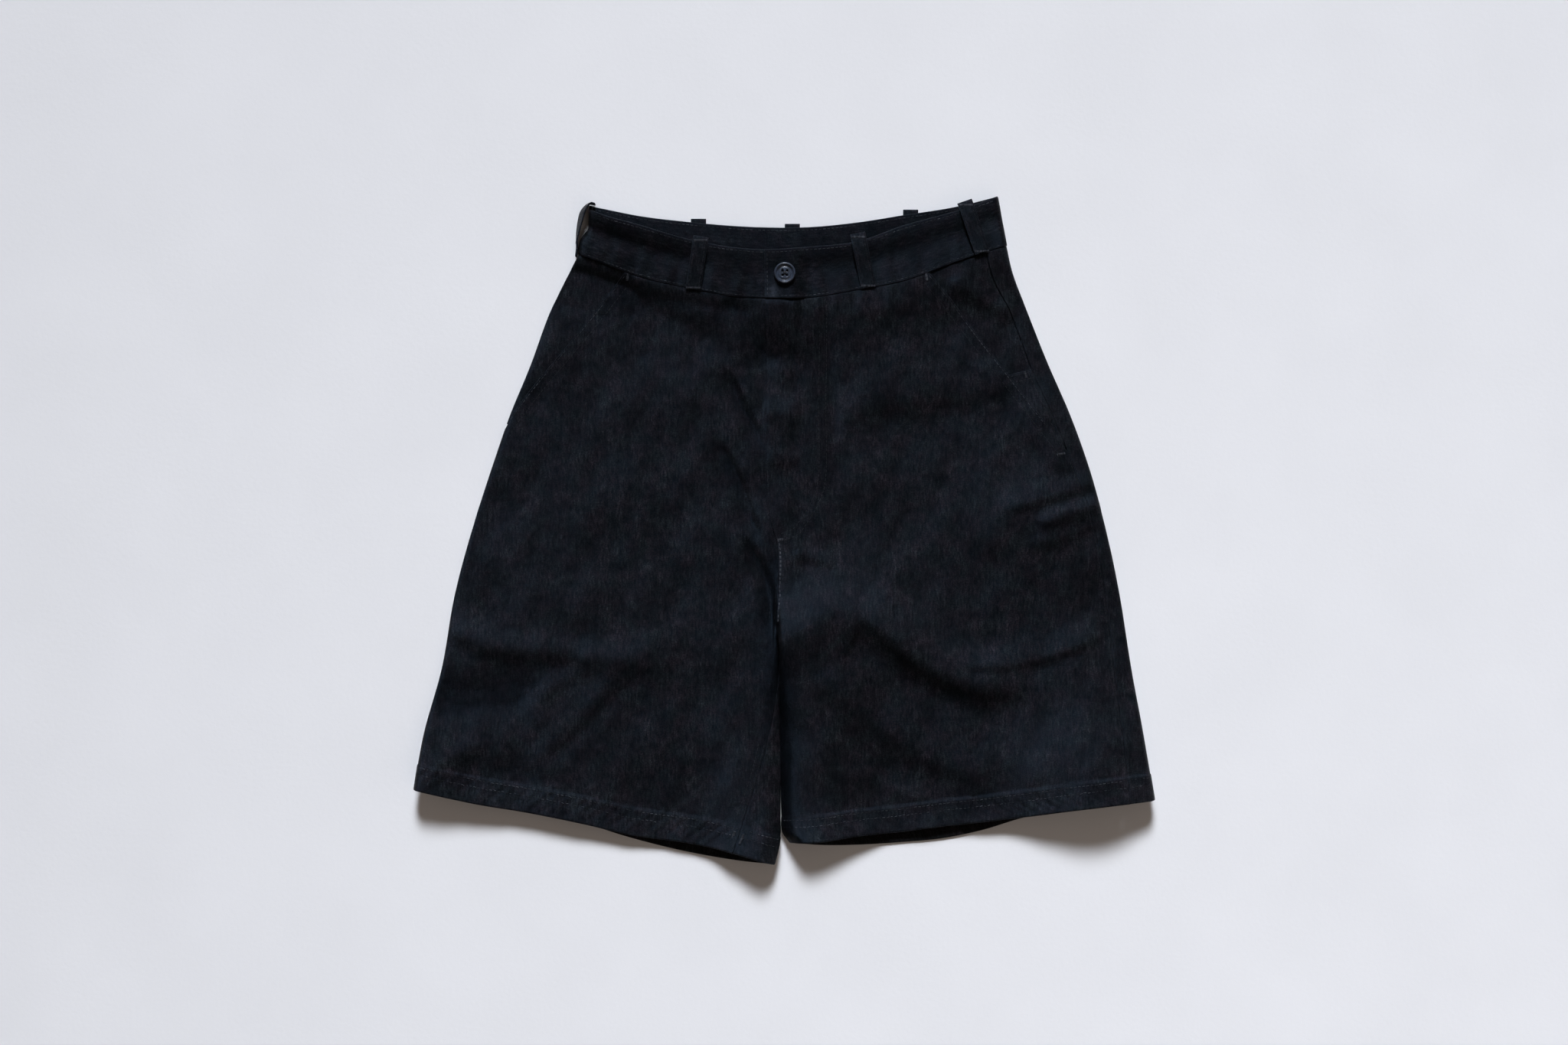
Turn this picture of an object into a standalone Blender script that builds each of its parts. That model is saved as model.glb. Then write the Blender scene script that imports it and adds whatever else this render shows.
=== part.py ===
"""Wide knee-length denim shorts, laid flat on a surface with the front up.

Metres. X runs towards the wearer's left, Y towards the waist and Z up. The origin is on the
surface, at the middle of the laid garment. Left and right are the wearer's.

Each side of the garment is a flattened tube. A place on it is a row, from 0 at the waist seam
to 1 at the hem, and a ring place: 0 at the centre or the inner fold, rising over the front to
the outer fold, then back along the underside. Every cloth piece is a grid of such places.
"""

import math
from collections import namedtuple

import bmesh
import bpy
import numpy as np

NAME = "denim_shorts"
LEFT, RIGHT = "left", "right"
FRONT, BACK = "front", "back"
TOWARDS = {LEFT: 1.0, RIGHT: -1.0}

# Cloth thicknesses
CLOTH = 0.0012
HEM_CLOTH = 0.0022
BAND_CLOTH = 0.0024
LOOP_CLOTH = 0.0014
SEAM_GAP = 0.0003
LAP_GAP = 0.00035

# Heights of the middle of each layer, and the plan radius of a side fold
SETTLED = 0.0040
BAND_FRONT_LEVEL = 0.0115
BAND_BACK_LEVEL = 0.0029
WAIST_EASE = 0.055
BAND_RISE = 0.0035
BAND_RISE_START = 0.35
BAND_HELD = 0.85
BAND_HELD_REACH = 0.030
FOLD_RADIUS = 0.0036
FOLD_TURNS = (30, 60, 90)
TIP_TURN = 0.20

# Waistband and belt loops
BAND_DEPTH = 0.041
BAND_UNDERLAP = 0.020
BAND_LAP_REACH = 0.022
BAND_LAP_FADE = 0.016
LOOP_WIDTH = 0.0125
LOOP_BOW = 0.0016
LOOP_STAND = 0.0038
LOOP_STAND_START = 0.8

# Fly: the left front laps over the right one down to the fly's end
FLY_UNDERLAP = 0.008
FLY_LAP_REACH = 0.012
FLY_LAP_FADE = 0.012
FLY_END = 0.435
FLY_FADE_START = 0.465
FLY_FADE_END = 0.515

# Slash pockets: the front's edge lies over the facing, and the coin pocket between them
SLASH_END = {LEFT: 0.363, RIGHT: 0.327}
FACING_STOP = {LEFT: 0.004, RIGHT: 0.010}
FACING_UNDERLAP = 0.014
FACING_DROP = 0.0012
SLASH_RISE = 0.00045
SLASH_REACH = 0.016
SLASH_FADE = 0.012
SLASH_CLEAR = {LEFT: 0.0015, RIGHT: 0.0055}
COIN_TOP, COIN_BOTTOM = 0.214, 0.352
COIN_STEP = 0.030
COIN_UNDERLAP = 0.009
COIN_RISE = 0.0015
COIN_REACH = 0.013

# Rows where the front starts to rise over the coin pocket, is up, starts to fall and is down
COIN_RISE_ROWS = (0.169, 0.194, 0.382, 0.412)

# The right outseam lies this far round the side fold
RIGHT_OUTSEAM = 0.0046

# Rows of the waist seam, the crotch and the turned hem's stitching, and the gap at the crotch
FIRST_ROW = 0.0004
CROTCH_ROW = 0.59
HEM_ROW = 0.953
HEM_STEP = 0.0012
CROTCH_HALF = 0.0009
CROTCH_EASE = 0.030
CROTCH_STOP = 0.010

# Plan height where the centre seams meet the band, and where the back seam eases to the front's
CENTRE_TOP_Y = 0.2
SIDE_EASE_START = 0.14
SIDE_EASE_RUN = 0.04

# The tables' plan places are measured from a point this far from the middle of the laid garment
MIDDLE_X, MIDDLE_Y = 0.0004, 0.0008

# Where each side folds, and how far in from its fold the left outseam lies
Section = namedtuple("Section", "y left_fold right_fold left_outseam")
SECTIONS = (
    Section(-0.2211, 0.3043, -0.3050, 0.0209),
    Section(-0.1676, 0.2955, -0.2961, 0.0172),
    Section(-0.1109, 0.2854, -0.2812, 0.0138),
    Section(-0.0542, 0.2766, -0.2715, 0.0115),
    Section(0.0025, 0.2646, -0.2564, 0.0087),
    Section(0.0592, 0.2489, -0.2381, 0.0118),
    Section(0.0970, 0.2350, -0.2249, 0.0132),
    Section(0.1348, 0.2186, -0.2092, 0.0134),
    Section(0.1852, 0.1985, -0.1903, 0.0126),
    Section(0.2155, 0.1871, -0.1751, 0.0160),
    Section(0.2350, 0.1827, -0.1640, 0.0165),
)
WAIST_SIDE_Y = {LEFT: 0.2347, RIGHT: 0.2274}
HEM_SIDE_Y = {LEFT: -0.2211, RIGHT: -0.2123}

# Where each leg folds at its inner side, and how far the right inseam lies in over the front
InnerLeg = namedtuple("InnerLeg", "y left_fold right_fold right_inseam")
INNER_LEGS = (
    InnerLeg(-0.2741, 0.0057, -0.0088, 0.0345),
    InnerLeg(-0.2564, 0.0057, -0.0046, 0.0325),
    InnerLeg(-0.2480, -0.0002, -0.0036, 0.0312),
    InnerLeg(-0.2360, -0.0012, -0.0038, 0.0272),
    InnerLeg(-0.2090, -0.0020, -0.0037, 0.0188),
    InnerLeg(-0.1900, -0.0022, -0.0038, 0.0140),
    InnerLeg(-0.1550, -0.0028, -0.0044, 0.0056),
    InnerLeg(-0.1260, -0.0030, -0.0046, 0.0012),
    InnerLeg(-0.0950, -0.0034, -0.0052, 0.0000),
    InnerLeg(-0.0781, -0.0048, -0.0066, 0.0000),
)
HEM_INNER_Y = {LEFT: -0.2564, RIGHT: -0.2741}
CROTCH_Y = -0.0781

# The centre seams: the fly's edge and the rise below it, and the seat seam
Centre = namedtuple("Centre", "y front back")
CENTRES = (
    Centre(-0.0781, -0.0057, -0.0057),
    Centre(-0.0416, -0.0044, -0.0038),
    Centre(-0.0090, -0.0057, -0.0021),
    Centre(0.0060, -0.0101, -0.0012),
    Centre(0.0340, -0.0132, 0.0002),
    Centre(0.1096, -0.0132, 0.0035),
    Centre(0.1537, -0.0145, 0.0050),
    Centre(0.2090, -0.0164, 0.0069),
)

# The waistband across: its seam at the front, and its top edge at the front and the back
Waist = namedtuple("Waist", "x front_seam front_top back_top")
WAIST = (
    Waist(-0.1672, 0.2274, 0.2680, 0.2696),
    Waist(-0.1510, 0.2211, 0.2612, 0.2664),
    Waist(-0.1200, 0.2095, 0.2523, 0.2602),
    Waist(-0.0800, 0.2001, 0.2406, 0.2553),
    Waist(-0.0400, 0.1928, 0.2333, 0.2518),
    Waist(-0.0160, 0.1915, 0.2318, 0.2507),
    Waist(0.0200, 0.1920, 0.2340, 0.2509),
    Waist(0.0600, 0.1983, 0.2384, 0.2547),
    Waist(0.1000, 0.2061, 0.2520, 0.2610),
    Waist(0.1400, 0.2208, 0.2629, 0.2673),
    Waist(0.1827, 0.2347, 0.2777, 0.2777),
)

# Each hem across, at the front and the back
Hem = namedtuple("Hem", "x front back")
HEMS = {
    LEFT: (
        Hem(0.0057, -0.2564, -0.2564),
        Hem(0.0284, -0.2552, -0.2583),
        Hem(0.0624, -0.2507, -0.2583),
        Hem(0.0958, -0.2476, -0.2564),
        Hem(0.1298, -0.2432, -0.2533),
        Hem(0.1638, -0.2394, -0.2463),
        Hem(0.1972, -0.2350, -0.2360),
        Hem(0.2426, -0.2281, -0.2281),
        Hem(0.3043, -0.2211, -0.2211),
    ),
    RIGHT: (
        Hem(-0.3043, -0.2123, -0.2123),
        Hem(-0.2526, -0.2243, -0.2235),
        Hem(-0.2092, -0.2318, -0.2312),
        Hem(-0.1657, -0.2407, -0.2405),
        Hem(-0.1310, -0.2490, -0.2514),
        Hem(-0.0680, -0.2589, -0.2665),
        Hem(-0.0353, -0.2665, -0.2715),
        Hem(-0.0088, -0.2741, -0.2741),
    ),
}

# The edge of each slash pocket
Slash = namedtuple("Slash", "y x")
SLASHES = {
    LEFT: (
        Slash(0.0756, 0.2262),
        Slash(0.1260, 0.1874),
        Slash(0.1537, 0.1657),
        Slash(0.1922, 0.1367),
        Slash(0.2104, 0.1216),
    ),
    RIGHT: (
        Slash(0.0844, -0.2331),
        Slash(0.1191, -0.2073),
        Slash(0.1430, -0.1871),
        Slash(0.1802, -0.1569),
        Slash(0.2098, -0.1336),
    ),
}

# How far the band's fold stands out from a straight line between its two edges
BandFold = namedtuple("BandFold", "up left right")
BAND_FOLDS = (
    BandFold(0.00, 0.0000, 0.0000),
    BandFold(0.30, 0.0000, 0.0012),
    BandFold(0.50, 0.0000, -0.0026),
    BandFold(0.80, 0.0000, -0.0013),
    BandFold(1.00, 0.0000, 0.0000),
)
BAND_TIP_X = {LEFT: 0.1752, RIGHT: -0.1594}
BAND_FOLD_REACH = 0.020

# Broad lifts of the cloth: hem arches, and the slack of each thigh
Swell = namedtuple("Swell", "x y across along front back")
SWELLS = (
    Swell(0.255, -0.225, 0.060, 0.085, 0.0275, 0.0085),
    Swell(-0.304, -0.215, 0.062, 0.085, 0.0175, 0.0080),
    Swell(-0.185, -0.240, 0.065, 0.060, 0.0055, 0.0000),
    Swell(-0.020, -0.276, 0.034, 0.050, 0.0150, 0.0050),
    Swell(0.024, -0.264, 0.036, 0.045, 0.0150, 0.0040),
    Swell(0.120, -0.075, 0.100, 0.110, 0.0035, 0.0000),
    Swell(0.030, -0.100, 0.055, 0.060, 0.0080, 0.0000),
    Swell(-0.170, -0.110, 0.085, 0.100, 0.0030, 0.0000),
    Swell(-0.030, 0.075, 0.045, 0.110, 0.0020, 0.0000),
)

# The largest folds: height, half width, and the line of the crest or the trough
Fold = namedtuple("Fold", "height width line")
FOLDS = (
    Fold(0.0070, 0.0165, ((0.010, -0.089), (0.034, -0.076), (0.064, -0.076), (0.092, -0.098))),
    Fold(0.0060, 0.0150, ((0.092, -0.098), (0.118, -0.120), (0.144, -0.129), (0.184, -0.130))),
    Fold(-0.0015, 0.0110, ((0.060, -0.104), (0.086, -0.126), (0.116, -0.148), (0.190, -0.156))),
    Fold(0.0048, 0.0120, ((0.023, -0.107), (0.059, -0.139), (0.096, -0.161), (0.137, -0.183))),
    Fold(0.0040, 0.0120, ((0.137, -0.183), (0.186, -0.170))),
    Fold(-0.0022, 0.0110, ((0.051, -0.150), (0.080, -0.172), (0.117, -0.193), (0.185, -0.203))),
    Fold(0.0024, 0.0130, ((0.085, 0.109), (0.150, 0.116))),
    Fold(0.0034, 0.0080, ((0.214, 0.010), (0.254, 0.024))),
    Fold(0.0032, 0.0110, ((-0.268, -0.088), (-0.215, -0.099), (-0.141, -0.110))),
    Fold(0.0042, 0.0095, ((-0.236, -0.164), (-0.182, -0.124))),
    Fold(0.0046, 0.0100, ((-0.211, -0.177), (-0.162, -0.136), (-0.121, -0.103))),
    Fold(0.0042, 0.0100, ((-0.053, 0.180), (-0.030, 0.150), (-0.022, 0.118))),
    Fold(0.0038, 0.0100, ((-0.048, 0.088), (-0.024, 0.044))),
    Fold(-0.0020, 0.0095, ((-0.036, -0.010), (-0.020, -0.060))),
)

# Belt loops that lie on the band, by their middle line's plan place at the top and the bottom
Loop = namedtuple("Loop", "name layer top_x top_y bottom_x bottom_y")
LOOPS = (
    Loop("loop_front_left", FRONT, 0.0611, 0.2412, 0.0696, 0.2006),
    Loop("loop_front_right", FRONT, -0.0687, 0.2384, -0.0747, 0.1990),
    Loop("loop_side_left", FRONT, 0.1495, 0.2675, 0.1630, 0.2290),
    Loop("loop_back_left", BACK, 0.1046, 0.2617, 0.1046, 0.2210),
    Loop("loop_back_centre", BACK, 0.0069, 0.2500, 0.0069, 0.2100),
    Loop("loop_back_right", BACK, -0.0706, 0.2542, -0.0706, 0.2140),
)

# The right side loop stands out from the band, edge on: its plan line from the top round to the seam
BowPoint = namedtuple("BowPoint", "x y")
BOWED_LOOP = (
    BowPoint(-0.1555, 0.2694),
    BowPoint(-0.1620, 0.2698),
    BowPoint(-0.1676, 0.2640),
    BowPoint(-0.1700, 0.2550),
    BowPoint(-0.1712, 0.2430),
    BowPoint(-0.1704, 0.2340),
    BowPoint(-0.1712, 0.2260),
)
BOWED_LOOP_FOOT = 0.0012
BOWED_LOOP_LEAN = 0.0046
BOWED_LOOP_LEAN_END = 4.6

# Waist button: turned profile from the middle of its face round to the middle of its back
BUTTON_PLACE = (0.0006, 0.2123)
BUTTON_STEPS = 32
BUTTON_PROFILE = (
    (0.0, 0.0019),
    (0.0046, 0.0019),
    (0.0063, 0.0029),
    (0.0076, 0.0031),
    (0.0085, 0.0026),
    (0.00875, 0.0018),
    (0.0084, 0.0008),
    (0.0070, 0.0001),
    (0.0, 0.0),
)
BUTTON_HOLE_RADIUS = 0.0010
BUTTON_HOLE_PITCH = 0.0036
BUTTON_HOLE_STEPS = 10
BUTTON_HOLE_DEPTH = 0.008
BUTTON_LIFT = 0.0006

# Grid sizes
FRONT_COLUMNS = 15
BACK_COLUMNS = 11
INSEAM_COLUMNS = 2
FACING_COLUMNS = 5
COIN_COLUMNS = 4
BAND_FRONT_COLUMNS = 10
BAND_BACK_COLUMNS = 16
BAND_ROWS = 4
LOOP_ROWS = 8
BOW_ROWS = 12
WELD = 1e-6

# How far out past the fold a slash pocket's edge is looked for, and how often that is halved
SEARCH_REACH = 0.08
HALVINGS = 40

DENIM = (0.0090, 0.0100, 0.0145)
DENIM_ROUGHNESS = 0.9
BUTTON_COLOUR = (0.085, 0.100, 0.125)
BUTTON_ROUGHNESS = 0.45


# --- Curves and soft steps ---------------------------------------------------------------


def smooth_line(places, values):
    """A smooth function through the given values, which runs straight on past its ends."""
    places, values = np.array(places, float), np.array(values, float)
    slopes = np.gradient(values, places)

    def at(place):
        inside = np.clip(place, places[0], places[-1])
        k = np.clip(np.searchsorted(places, inside) - 1, 0, len(places) - 2)
        gap = places[k + 1] - places[k]
        share = (inside - places[k]) / gap
        start, end = (1 + 2 * share) * (1 - share) ** 2, share * share * (3 - 2 * share)
        bend = share * (1 - share) ** 2 * slopes[k] - share * share * (1 - share) * slopes[k + 1]
        past = (place - inside) * np.where(place < inside, slopes[0], slopes[-1])
        return values[k] * start + values[k + 1] * end + gap * bend + past

    return at


def smooth_column(table, place, value):
    """The smooth function that a table's two named columns give."""
    return smooth_line([getattr(row, place) for row in table], [getattr(row, value) for row in table])


def soft_step(value):
    """0 below 0, 1 above 1, smooth between."""
    share = np.clip(value, 0.0, 1.0)
    return share * share * (3 - 2 * share)


def mix(start, end, share):
    return start + (end - start) * share


def distance_to_line(x, y, line):
    """Plan distance to a line of straight stretches."""
    nearest = np.full(np.shape(x), np.inf)
    for (start_x, start_y), (end_x, end_y) in zip(line, line[1:]):
        run_x, run_y = end_x - start_x, end_y - start_y
        share = ((x - start_x) * run_x + (y - start_y) * run_y) / (run_x**2 + run_y**2)
        share = np.clip(share, 0.0, 1.0)
        away = np.hypot(x - start_x - share * run_x, y - start_y - share * run_y)
        nearest = np.minimum(nearest, away)
    return nearest


FOLD_X = {
    LEFT: smooth_column(SECTIONS, "y", "left_fold"),
    RIGHT: smooth_column(SECTIONS, "y", "right_fold"),
}
LEFT_OUTSEAM = smooth_column(SECTIONS, "y", "left_outseam")
INNER_X = {
    LEFT: smooth_column(INNER_LEGS, "y", "left_fold"),
    RIGHT: smooth_column(INNER_LEGS, "y", "right_fold"),
}
RIGHT_INSEAM = smooth_column(INNER_LEGS, "y", "right_inseam")
CENTRE_X = {
    FRONT: smooth_column(CENTRES, "y", "front"),
    BACK: smooth_column(CENTRES, "y", "back"),
}
FRONT_SEAM_Y = smooth_column(WAIST, "x", "front_seam")
TOP_Y = {
    FRONT: smooth_column(WAIST, "x", "front_top"),
    BACK: smooth_column(WAIST, "x", "back_top"),
}
HEM_Y = {
    (side, layer): smooth_column(HEMS[side], "x", layer) for side in HEMS for layer in (FRONT, BACK)
}
SLASH_X = {side: smooth_column(SLASHES[side], "y", "x") for side in SLASHES}
BAND_FOLD_OUT = {
    LEFT: smooth_column(BAND_FOLDS, "up", "left"),
    RIGHT: smooth_column(BAND_FOLDS, "up", "right"),
}


# --- Plan: where a row and a ring place lie, seen from above ------------------------------


def seam_y(layer, x):
    """The waist seam. At the back it lies a band's depth below the top edge."""
    if layer == FRONT:
        return FRONT_SEAM_Y(x)
    to_side = soft_step((np.abs(x) - SIDE_EASE_START) / SIDE_EASE_RUN)
    return mix(TOP_Y[BACK](x) - BAND_DEPTH, FRONT_SEAM_Y(x), to_side)


def outer_edge(side, row):
    y = mix(WAIST_SIDE_Y[side], HEM_SIDE_Y[side], row)
    return FOLD_X[side](y), y


def inner_edge(side, layer, row):
    """The centre seam down to the crotch, and the leg's inner fold below it."""
    top_y = seam_y(layer, CENTRE_X[layer](CENTRE_TOP_Y))
    rise_y = mix(top_y, CROTCH_Y, row / CROTCH_ROW)
    leg_y = mix(CROTCH_Y, HEM_INNER_Y[side], (row - CROTCH_ROW) / (1 - CROTCH_ROW))
    above = row < CROTCH_ROW
    x = np.where(above, CENTRE_X[layer](rise_y), INNER_X[side](leg_y))
    return x, np.where(above, rise_y, leg_y)


def width(side, layer, row):
    """Plan distance from a row's inner edge to its outer fold."""
    inner_x, inner_y = inner_edge(side, layer, row)
    outer_x, outer_y = outer_edge(side, row)
    return np.hypot(outer_x - inner_x, outer_y - inner_y)


def plan(side, layer, row, share):
    """Rows run from the waist seam's line at the top to the hem's at the bottom."""
    inner_x, inner_y = inner_edge(side, layer, row)
    outer_x, outer_y = outer_edge(side, row)
    x = mix(inner_x, outer_x, share)
    y = mix(inner_y, outer_y, share)
    for end, weight, line in (
        (0.0, 1 - row, lambda at: seam_y(layer, at)),
        (1.0, row, HEM_Y[side, layer]),
    ):
        start_x, start_y = inner_edge(side, layer, np.array(end))
        end_x, end_y = outer_edge(side, np.array(end))
        bulge = line(mix(start_x, end_x, share)) - mix(start_y, end_y, share)
        y = y + weight * bulge
    return x, y


def slash_place(side, row):
    """Ring place where each row meets the slash pocket's edge, or far out below the pocket."""
    low = np.zeros_like(row)
    high = width(side, FRONT, row) + SEARCH_REACH
    for _ in range(HALVINGS):
        middle = (low + high) / 2
        x, y = plan(side, FRONT, row, middle / width(side, FRONT, row))
        inside = TOWARDS[side] * (SLASH_X[side](y) - x) > 0
        low, high = np.where(inside, middle, low), np.where(inside, high, middle)
    return low


def outseam_place(side, row):
    """Ring place of the outseam: over the front on the left, just under the fold on the right."""
    if side == RIGHT:
        return width(side, FRONT, row) + RIGHT_OUTSEAM
    _, y = outer_edge(side, row)
    return width(side, FRONT, row) - LEFT_OUTSEAM(y)


# --- Heights: how far the middle of the cloth lies above the surface ----------------------


def waist_share(layer, x, y):
    """1 on the waistband, easing to 0 below it."""
    return 1 - soft_step((seam_y(layer, x) - y) / WAIST_EASE)


def front_level(x, y, thickness=CLOTH):
    level = mix(SETTLED, BAND_FRONT_LEVEL, waist_share(FRONT, x, y)) + band_rise(x, y)
    level = level + (thickness - CLOTH) / 2
    for swell in SWELLS:
        level = level + swell.front * swell_share(x, y, swell)
    for fold in FOLDS:
        level = level + fold.height * np.exp(-((distance_to_line(x, y, fold.line) / fold.width) ** 2))
    return level


def back_level(x, y, thickness=CLOTH):
    level = mix(thickness / 2, BAND_BACK_LEVEL, waist_share(BACK, x, y))
    for swell in SWELLS:
        level = level + swell.back * swell_share(x, y, swell)
    return level


def band_rise(x, y):
    """The front of the waistband rises towards its top edge, but hardly by the button."""
    up = (y - FRONT_SEAM_Y(x)) / BAND_DEPTH
    free = 1 - BAND_HELD * np.exp(-(((x - BUTTON_PLACE[0]) / BAND_HELD_REACH) ** 2))
    return BAND_RISE * free * soft_step((up - BAND_RISE_START) / (1 - BAND_RISE_START))


def swell_share(x, y, swell):
    return np.exp(-(((x - swell.x) / swell.across) ** 2) - ((y - swell.y) / swell.along) ** 2)


def turn_share(away):
    """How far a layer has come round a fold at this plan distance from the fold's edge."""
    return np.sqrt(1 - (1 - np.clip(away / FOLD_RADIUS, 0, 1)) ** 2)


def ring_points(side, row, place, thickness=CLOTH, rise=0.0):
    """Middle points of the cloth at these rows and ring places. Rise lifts it off its layer."""
    front_width, back_width = width(side, FRONT, row), width(side, BACK, row)
    on_front = (place <= front_width) | (place > front_width + back_width)
    past_inner = place - front_width - back_width
    front_place = np.where(past_inner > 0, past_inner, place)
    back_place = np.clip(front_width + back_width - place, 0, None)
    front_x, front_y = plan(side, FRONT, row, front_place / front_width)
    back_x, back_y = plan(side, BACK, row, back_place / back_width)
    x, y = np.where(on_front, front_x, back_x), np.where(on_front, front_y, back_y)
    from_inner = np.where(on_front, np.abs(front_place), back_place)
    to_crotch = np.hypot(x - CENTRE_X[FRONT](CROTCH_Y), y - CROTCH_Y)
    from_inner = np.where(row < CROTCH_ROW, to_crotch, from_inner)
    turned = turn_share(np.minimum(from_inner, np.abs(front_width - place)))
    high, low = front_level(x, y, thickness), back_level(x, y, thickness)
    middle, half = (high + low) / 2, (high - low) / 2
    z = np.where(on_front, middle + (half + rise) * turned, middle - half * turned)
    return np.stack([x, y, z], axis=-1)


# --- Grids --------------------------------------------------------------------------------

OUTWARD = [FOLD_RADIUS * (1 - math.cos(math.radians(turn))) for turn in FOLD_TURNS]
LADDER = np.array([-away for away in OUTWARD[::-1]] + [0.0] + OUTWARD)
TIP_SEAM = FOLD_RADIUS * (1 - math.cos(TIP_TURN))

# Rows of every panel, in runs that end at the coin pocket, the slash pockets, the crotch and the hem
RowRun = namedtuple("RowRun", "first last count")
ROW_RUNS = (
    RowRun(FIRST_ROW, COIN_TOP - COIN_STEP, 6),
    RowRun(COIN_TOP, SLASH_END[RIGHT] - FACING_STOP[RIGHT], 4),
    RowRun(SLASH_END[RIGHT], SLASH_END[LEFT] - FACING_STOP[LEFT], 3),
    RowRun(SLASH_END[LEFT], CROTCH_ROW - CROTCH_STOP, 8),
    RowRun(CROTCH_ROW, HEM_ROW - HEM_STEP, 13),
    RowRun(HEM_ROW + HEM_STEP, 1.0, 3),
)
ROWS = np.concatenate([np.linspace(run.first, run.last, run.count) for run in ROW_RUNS])[:, None]


def columns(start, end, tips, fills):
    """Ring places across a panel: its edges, a ladder round each fold, and even steps between."""
    groups = [start] + [np.clip(tip + LADDER, start, end) for tip in tips] + [end]
    marks = []
    for before, after, count in zip(groups, groups[1:], fills):
        share = np.arange(1, count + 1) / (count + 1)
        marks += [before, mix(before[:, -1:], after[:, :1], share)]
    marks.append(end)
    return np.hstack(marks)


def cloth_of(row):
    """The hem is turned up, so it is thicker."""
    return np.where(row > HEM_ROW, HEM_CLOTH, CLOTH)


def shell(name, points, thickness, material, weights=None):
    """A sheet of cloth from a grid of its middle points, given its thickness by Solidify."""
    rows, across = points.shape[:2]
    mesh = bpy.data.meshes.new(name)
    made = bmesh.new()
    layer = made.verts.layers.deform.verify()
    if weights is None:
        weights = np.ones((rows, across))
    points = points - (MIDDLE_X, MIDDLE_Y, 0.0)
    grid = [[made.verts.new(point) for point in line] for line in points]
    for line, line_weights in zip(grid, weights):
        for vert, weight in zip(line, line_weights):
            vert[layer][0] = float(weight)
    for upper, lower in zip(grid, grid[1:]):
        for k in range(across - 1):
            made.faces.new((upper[k], lower[k], lower[k + 1], upper[k + 1]))
    bmesh.ops.remove_doubles(made, verts=made.verts, dist=WELD)
    made.to_mesh(mesh)
    made.free()
    mesh.shade_smooth()
    obj = bpy.data.objects.new(name, mesh)
    obj.vertex_groups.new(name="cloth")
    solid = obj.modifiers.new("Thickness", "SOLIDIFY")
    solid.thickness = thickness
    solid.offset = 0.0
    solid.vertex_group = "cloth"
    mesh.materials.append(material)
    PARTS.objects.link(obj)
    return obj


def panel(name, side, places, rise, material):
    """A panel whose hem rows are thicker than the rest."""
    cloth = cloth_of(ROWS) * np.ones_like(places)
    points = ring_points(side, ROWS, places, cloth, rise)
    return shell(name, points, HEM_CLOTH, material, cloth / HEM_CLOTH)


# --- Panels -------------------------------------------------------------------------------


def slash_rise(side, rows, places):
    """The front panel rides over the facing by its slash edge, and higher over the coin pocket."""
    inside = slash_place(side, rows) - places
    lift = SLASH_RISE * (1 - soft_step((inside - SLASH_REACH) / SLASH_FADE))
    if side == RIGHT:
        return lift
    start, full, fall, stop = COIN_RISE_ROWS
    along = soft_step((rows - start) / (full - start)) * (1 - soft_step((rows - fall) / (stop - fall)))
    return lift + COIN_RISE * along * (1 - soft_step((inside - COIN_REACH) / SLASH_FADE))


def fly_rise(rows, places):
    """The left front laps over the right one."""
    across = 1 - soft_step((places - FLY_LAP_REACH) / FLY_LAP_FADE)
    down = 1 - soft_step((rows - FLY_FADE_START) / (FLY_FADE_END - FLY_FADE_START))
    return (CLOTH + LAP_GAP) * across * down


def centre_inset(rows):
    """How far each panel stops short of a centre seam, which is a little more at the crotch."""
    return mix(SEAM_GAP / 2, CROTCH_HALF, soft_step((rows - CROTCH_ROW) / CROTCH_EASE + 1))


def front_edges(side, rows):
    """Ring places of a front panel's inner and outer edges."""
    inseam = np.full_like(rows, TIP_SEAM)
    centre = centre_inset(rows)
    if side == RIGHT:
        _, inner_y = inner_edge(side, FRONT, rows)
        inseam = np.maximum(inseam, RIGHT_INSEAM(inner_y) + SEAM_GAP / 2)
        centre = np.where(rows < FLY_END, -FLY_UNDERLAP, centre)
    start = np.where(rows < CROTCH_ROW, centre, inseam)
    outseam = outseam_place(side, rows) - SEAM_GAP / 2
    slash = np.minimum(slash_place(side, rows), outseam_place(side, rows) - SLASH_CLEAR[side])
    return start, np.where(rows < SLASH_END[side], slash, outseam)


def front_panel(side, material):
    start, end = front_edges(side, ROWS)
    inner, outer = np.zeros_like(ROWS), width(side, FRONT, ROWS)
    if side == LEFT:
        places = columns(start, end, [inner], [0, FRONT_COLUMNS])
        rise = slash_rise(side, ROWS, places) + fly_rise(ROWS, places)
    else:
        places = columns(start, end, [inner, outer], [1, FRONT_COLUMNS - 1, 0])
        rise = slash_rise(side, ROWS, places)
    return panel(f"{side}_front", side, places, rise, material)


def back_panel(side, material):
    front_width, back_width = width(side, FRONT, ROWS), width(side, BACK, ROWS)
    round_width = front_width + back_width
    start = outseam_place(side, ROWS) + SEAM_GAP / 2
    inseam = np.full_like(ROWS, -TIP_SEAM)
    if side == RIGHT:
        _, inner_y = inner_edge(side, FRONT, ROWS)
        reach = RIGHT_INSEAM(inner_y) - SEAM_GAP / 2
        inseam = np.where(reach > 0, reach, inseam)
    end = round_width + np.where(ROWS < CROTCH_ROW, -centre_inset(ROWS), inseam)
    fills = [1, BACK_COLUMNS, INSEAM_COLUMNS if side == RIGHT else 0]
    places = columns(start, end, [front_width, round_width], fills)
    return panel(f"{side}_back", side, places, 0.0, material)


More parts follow.
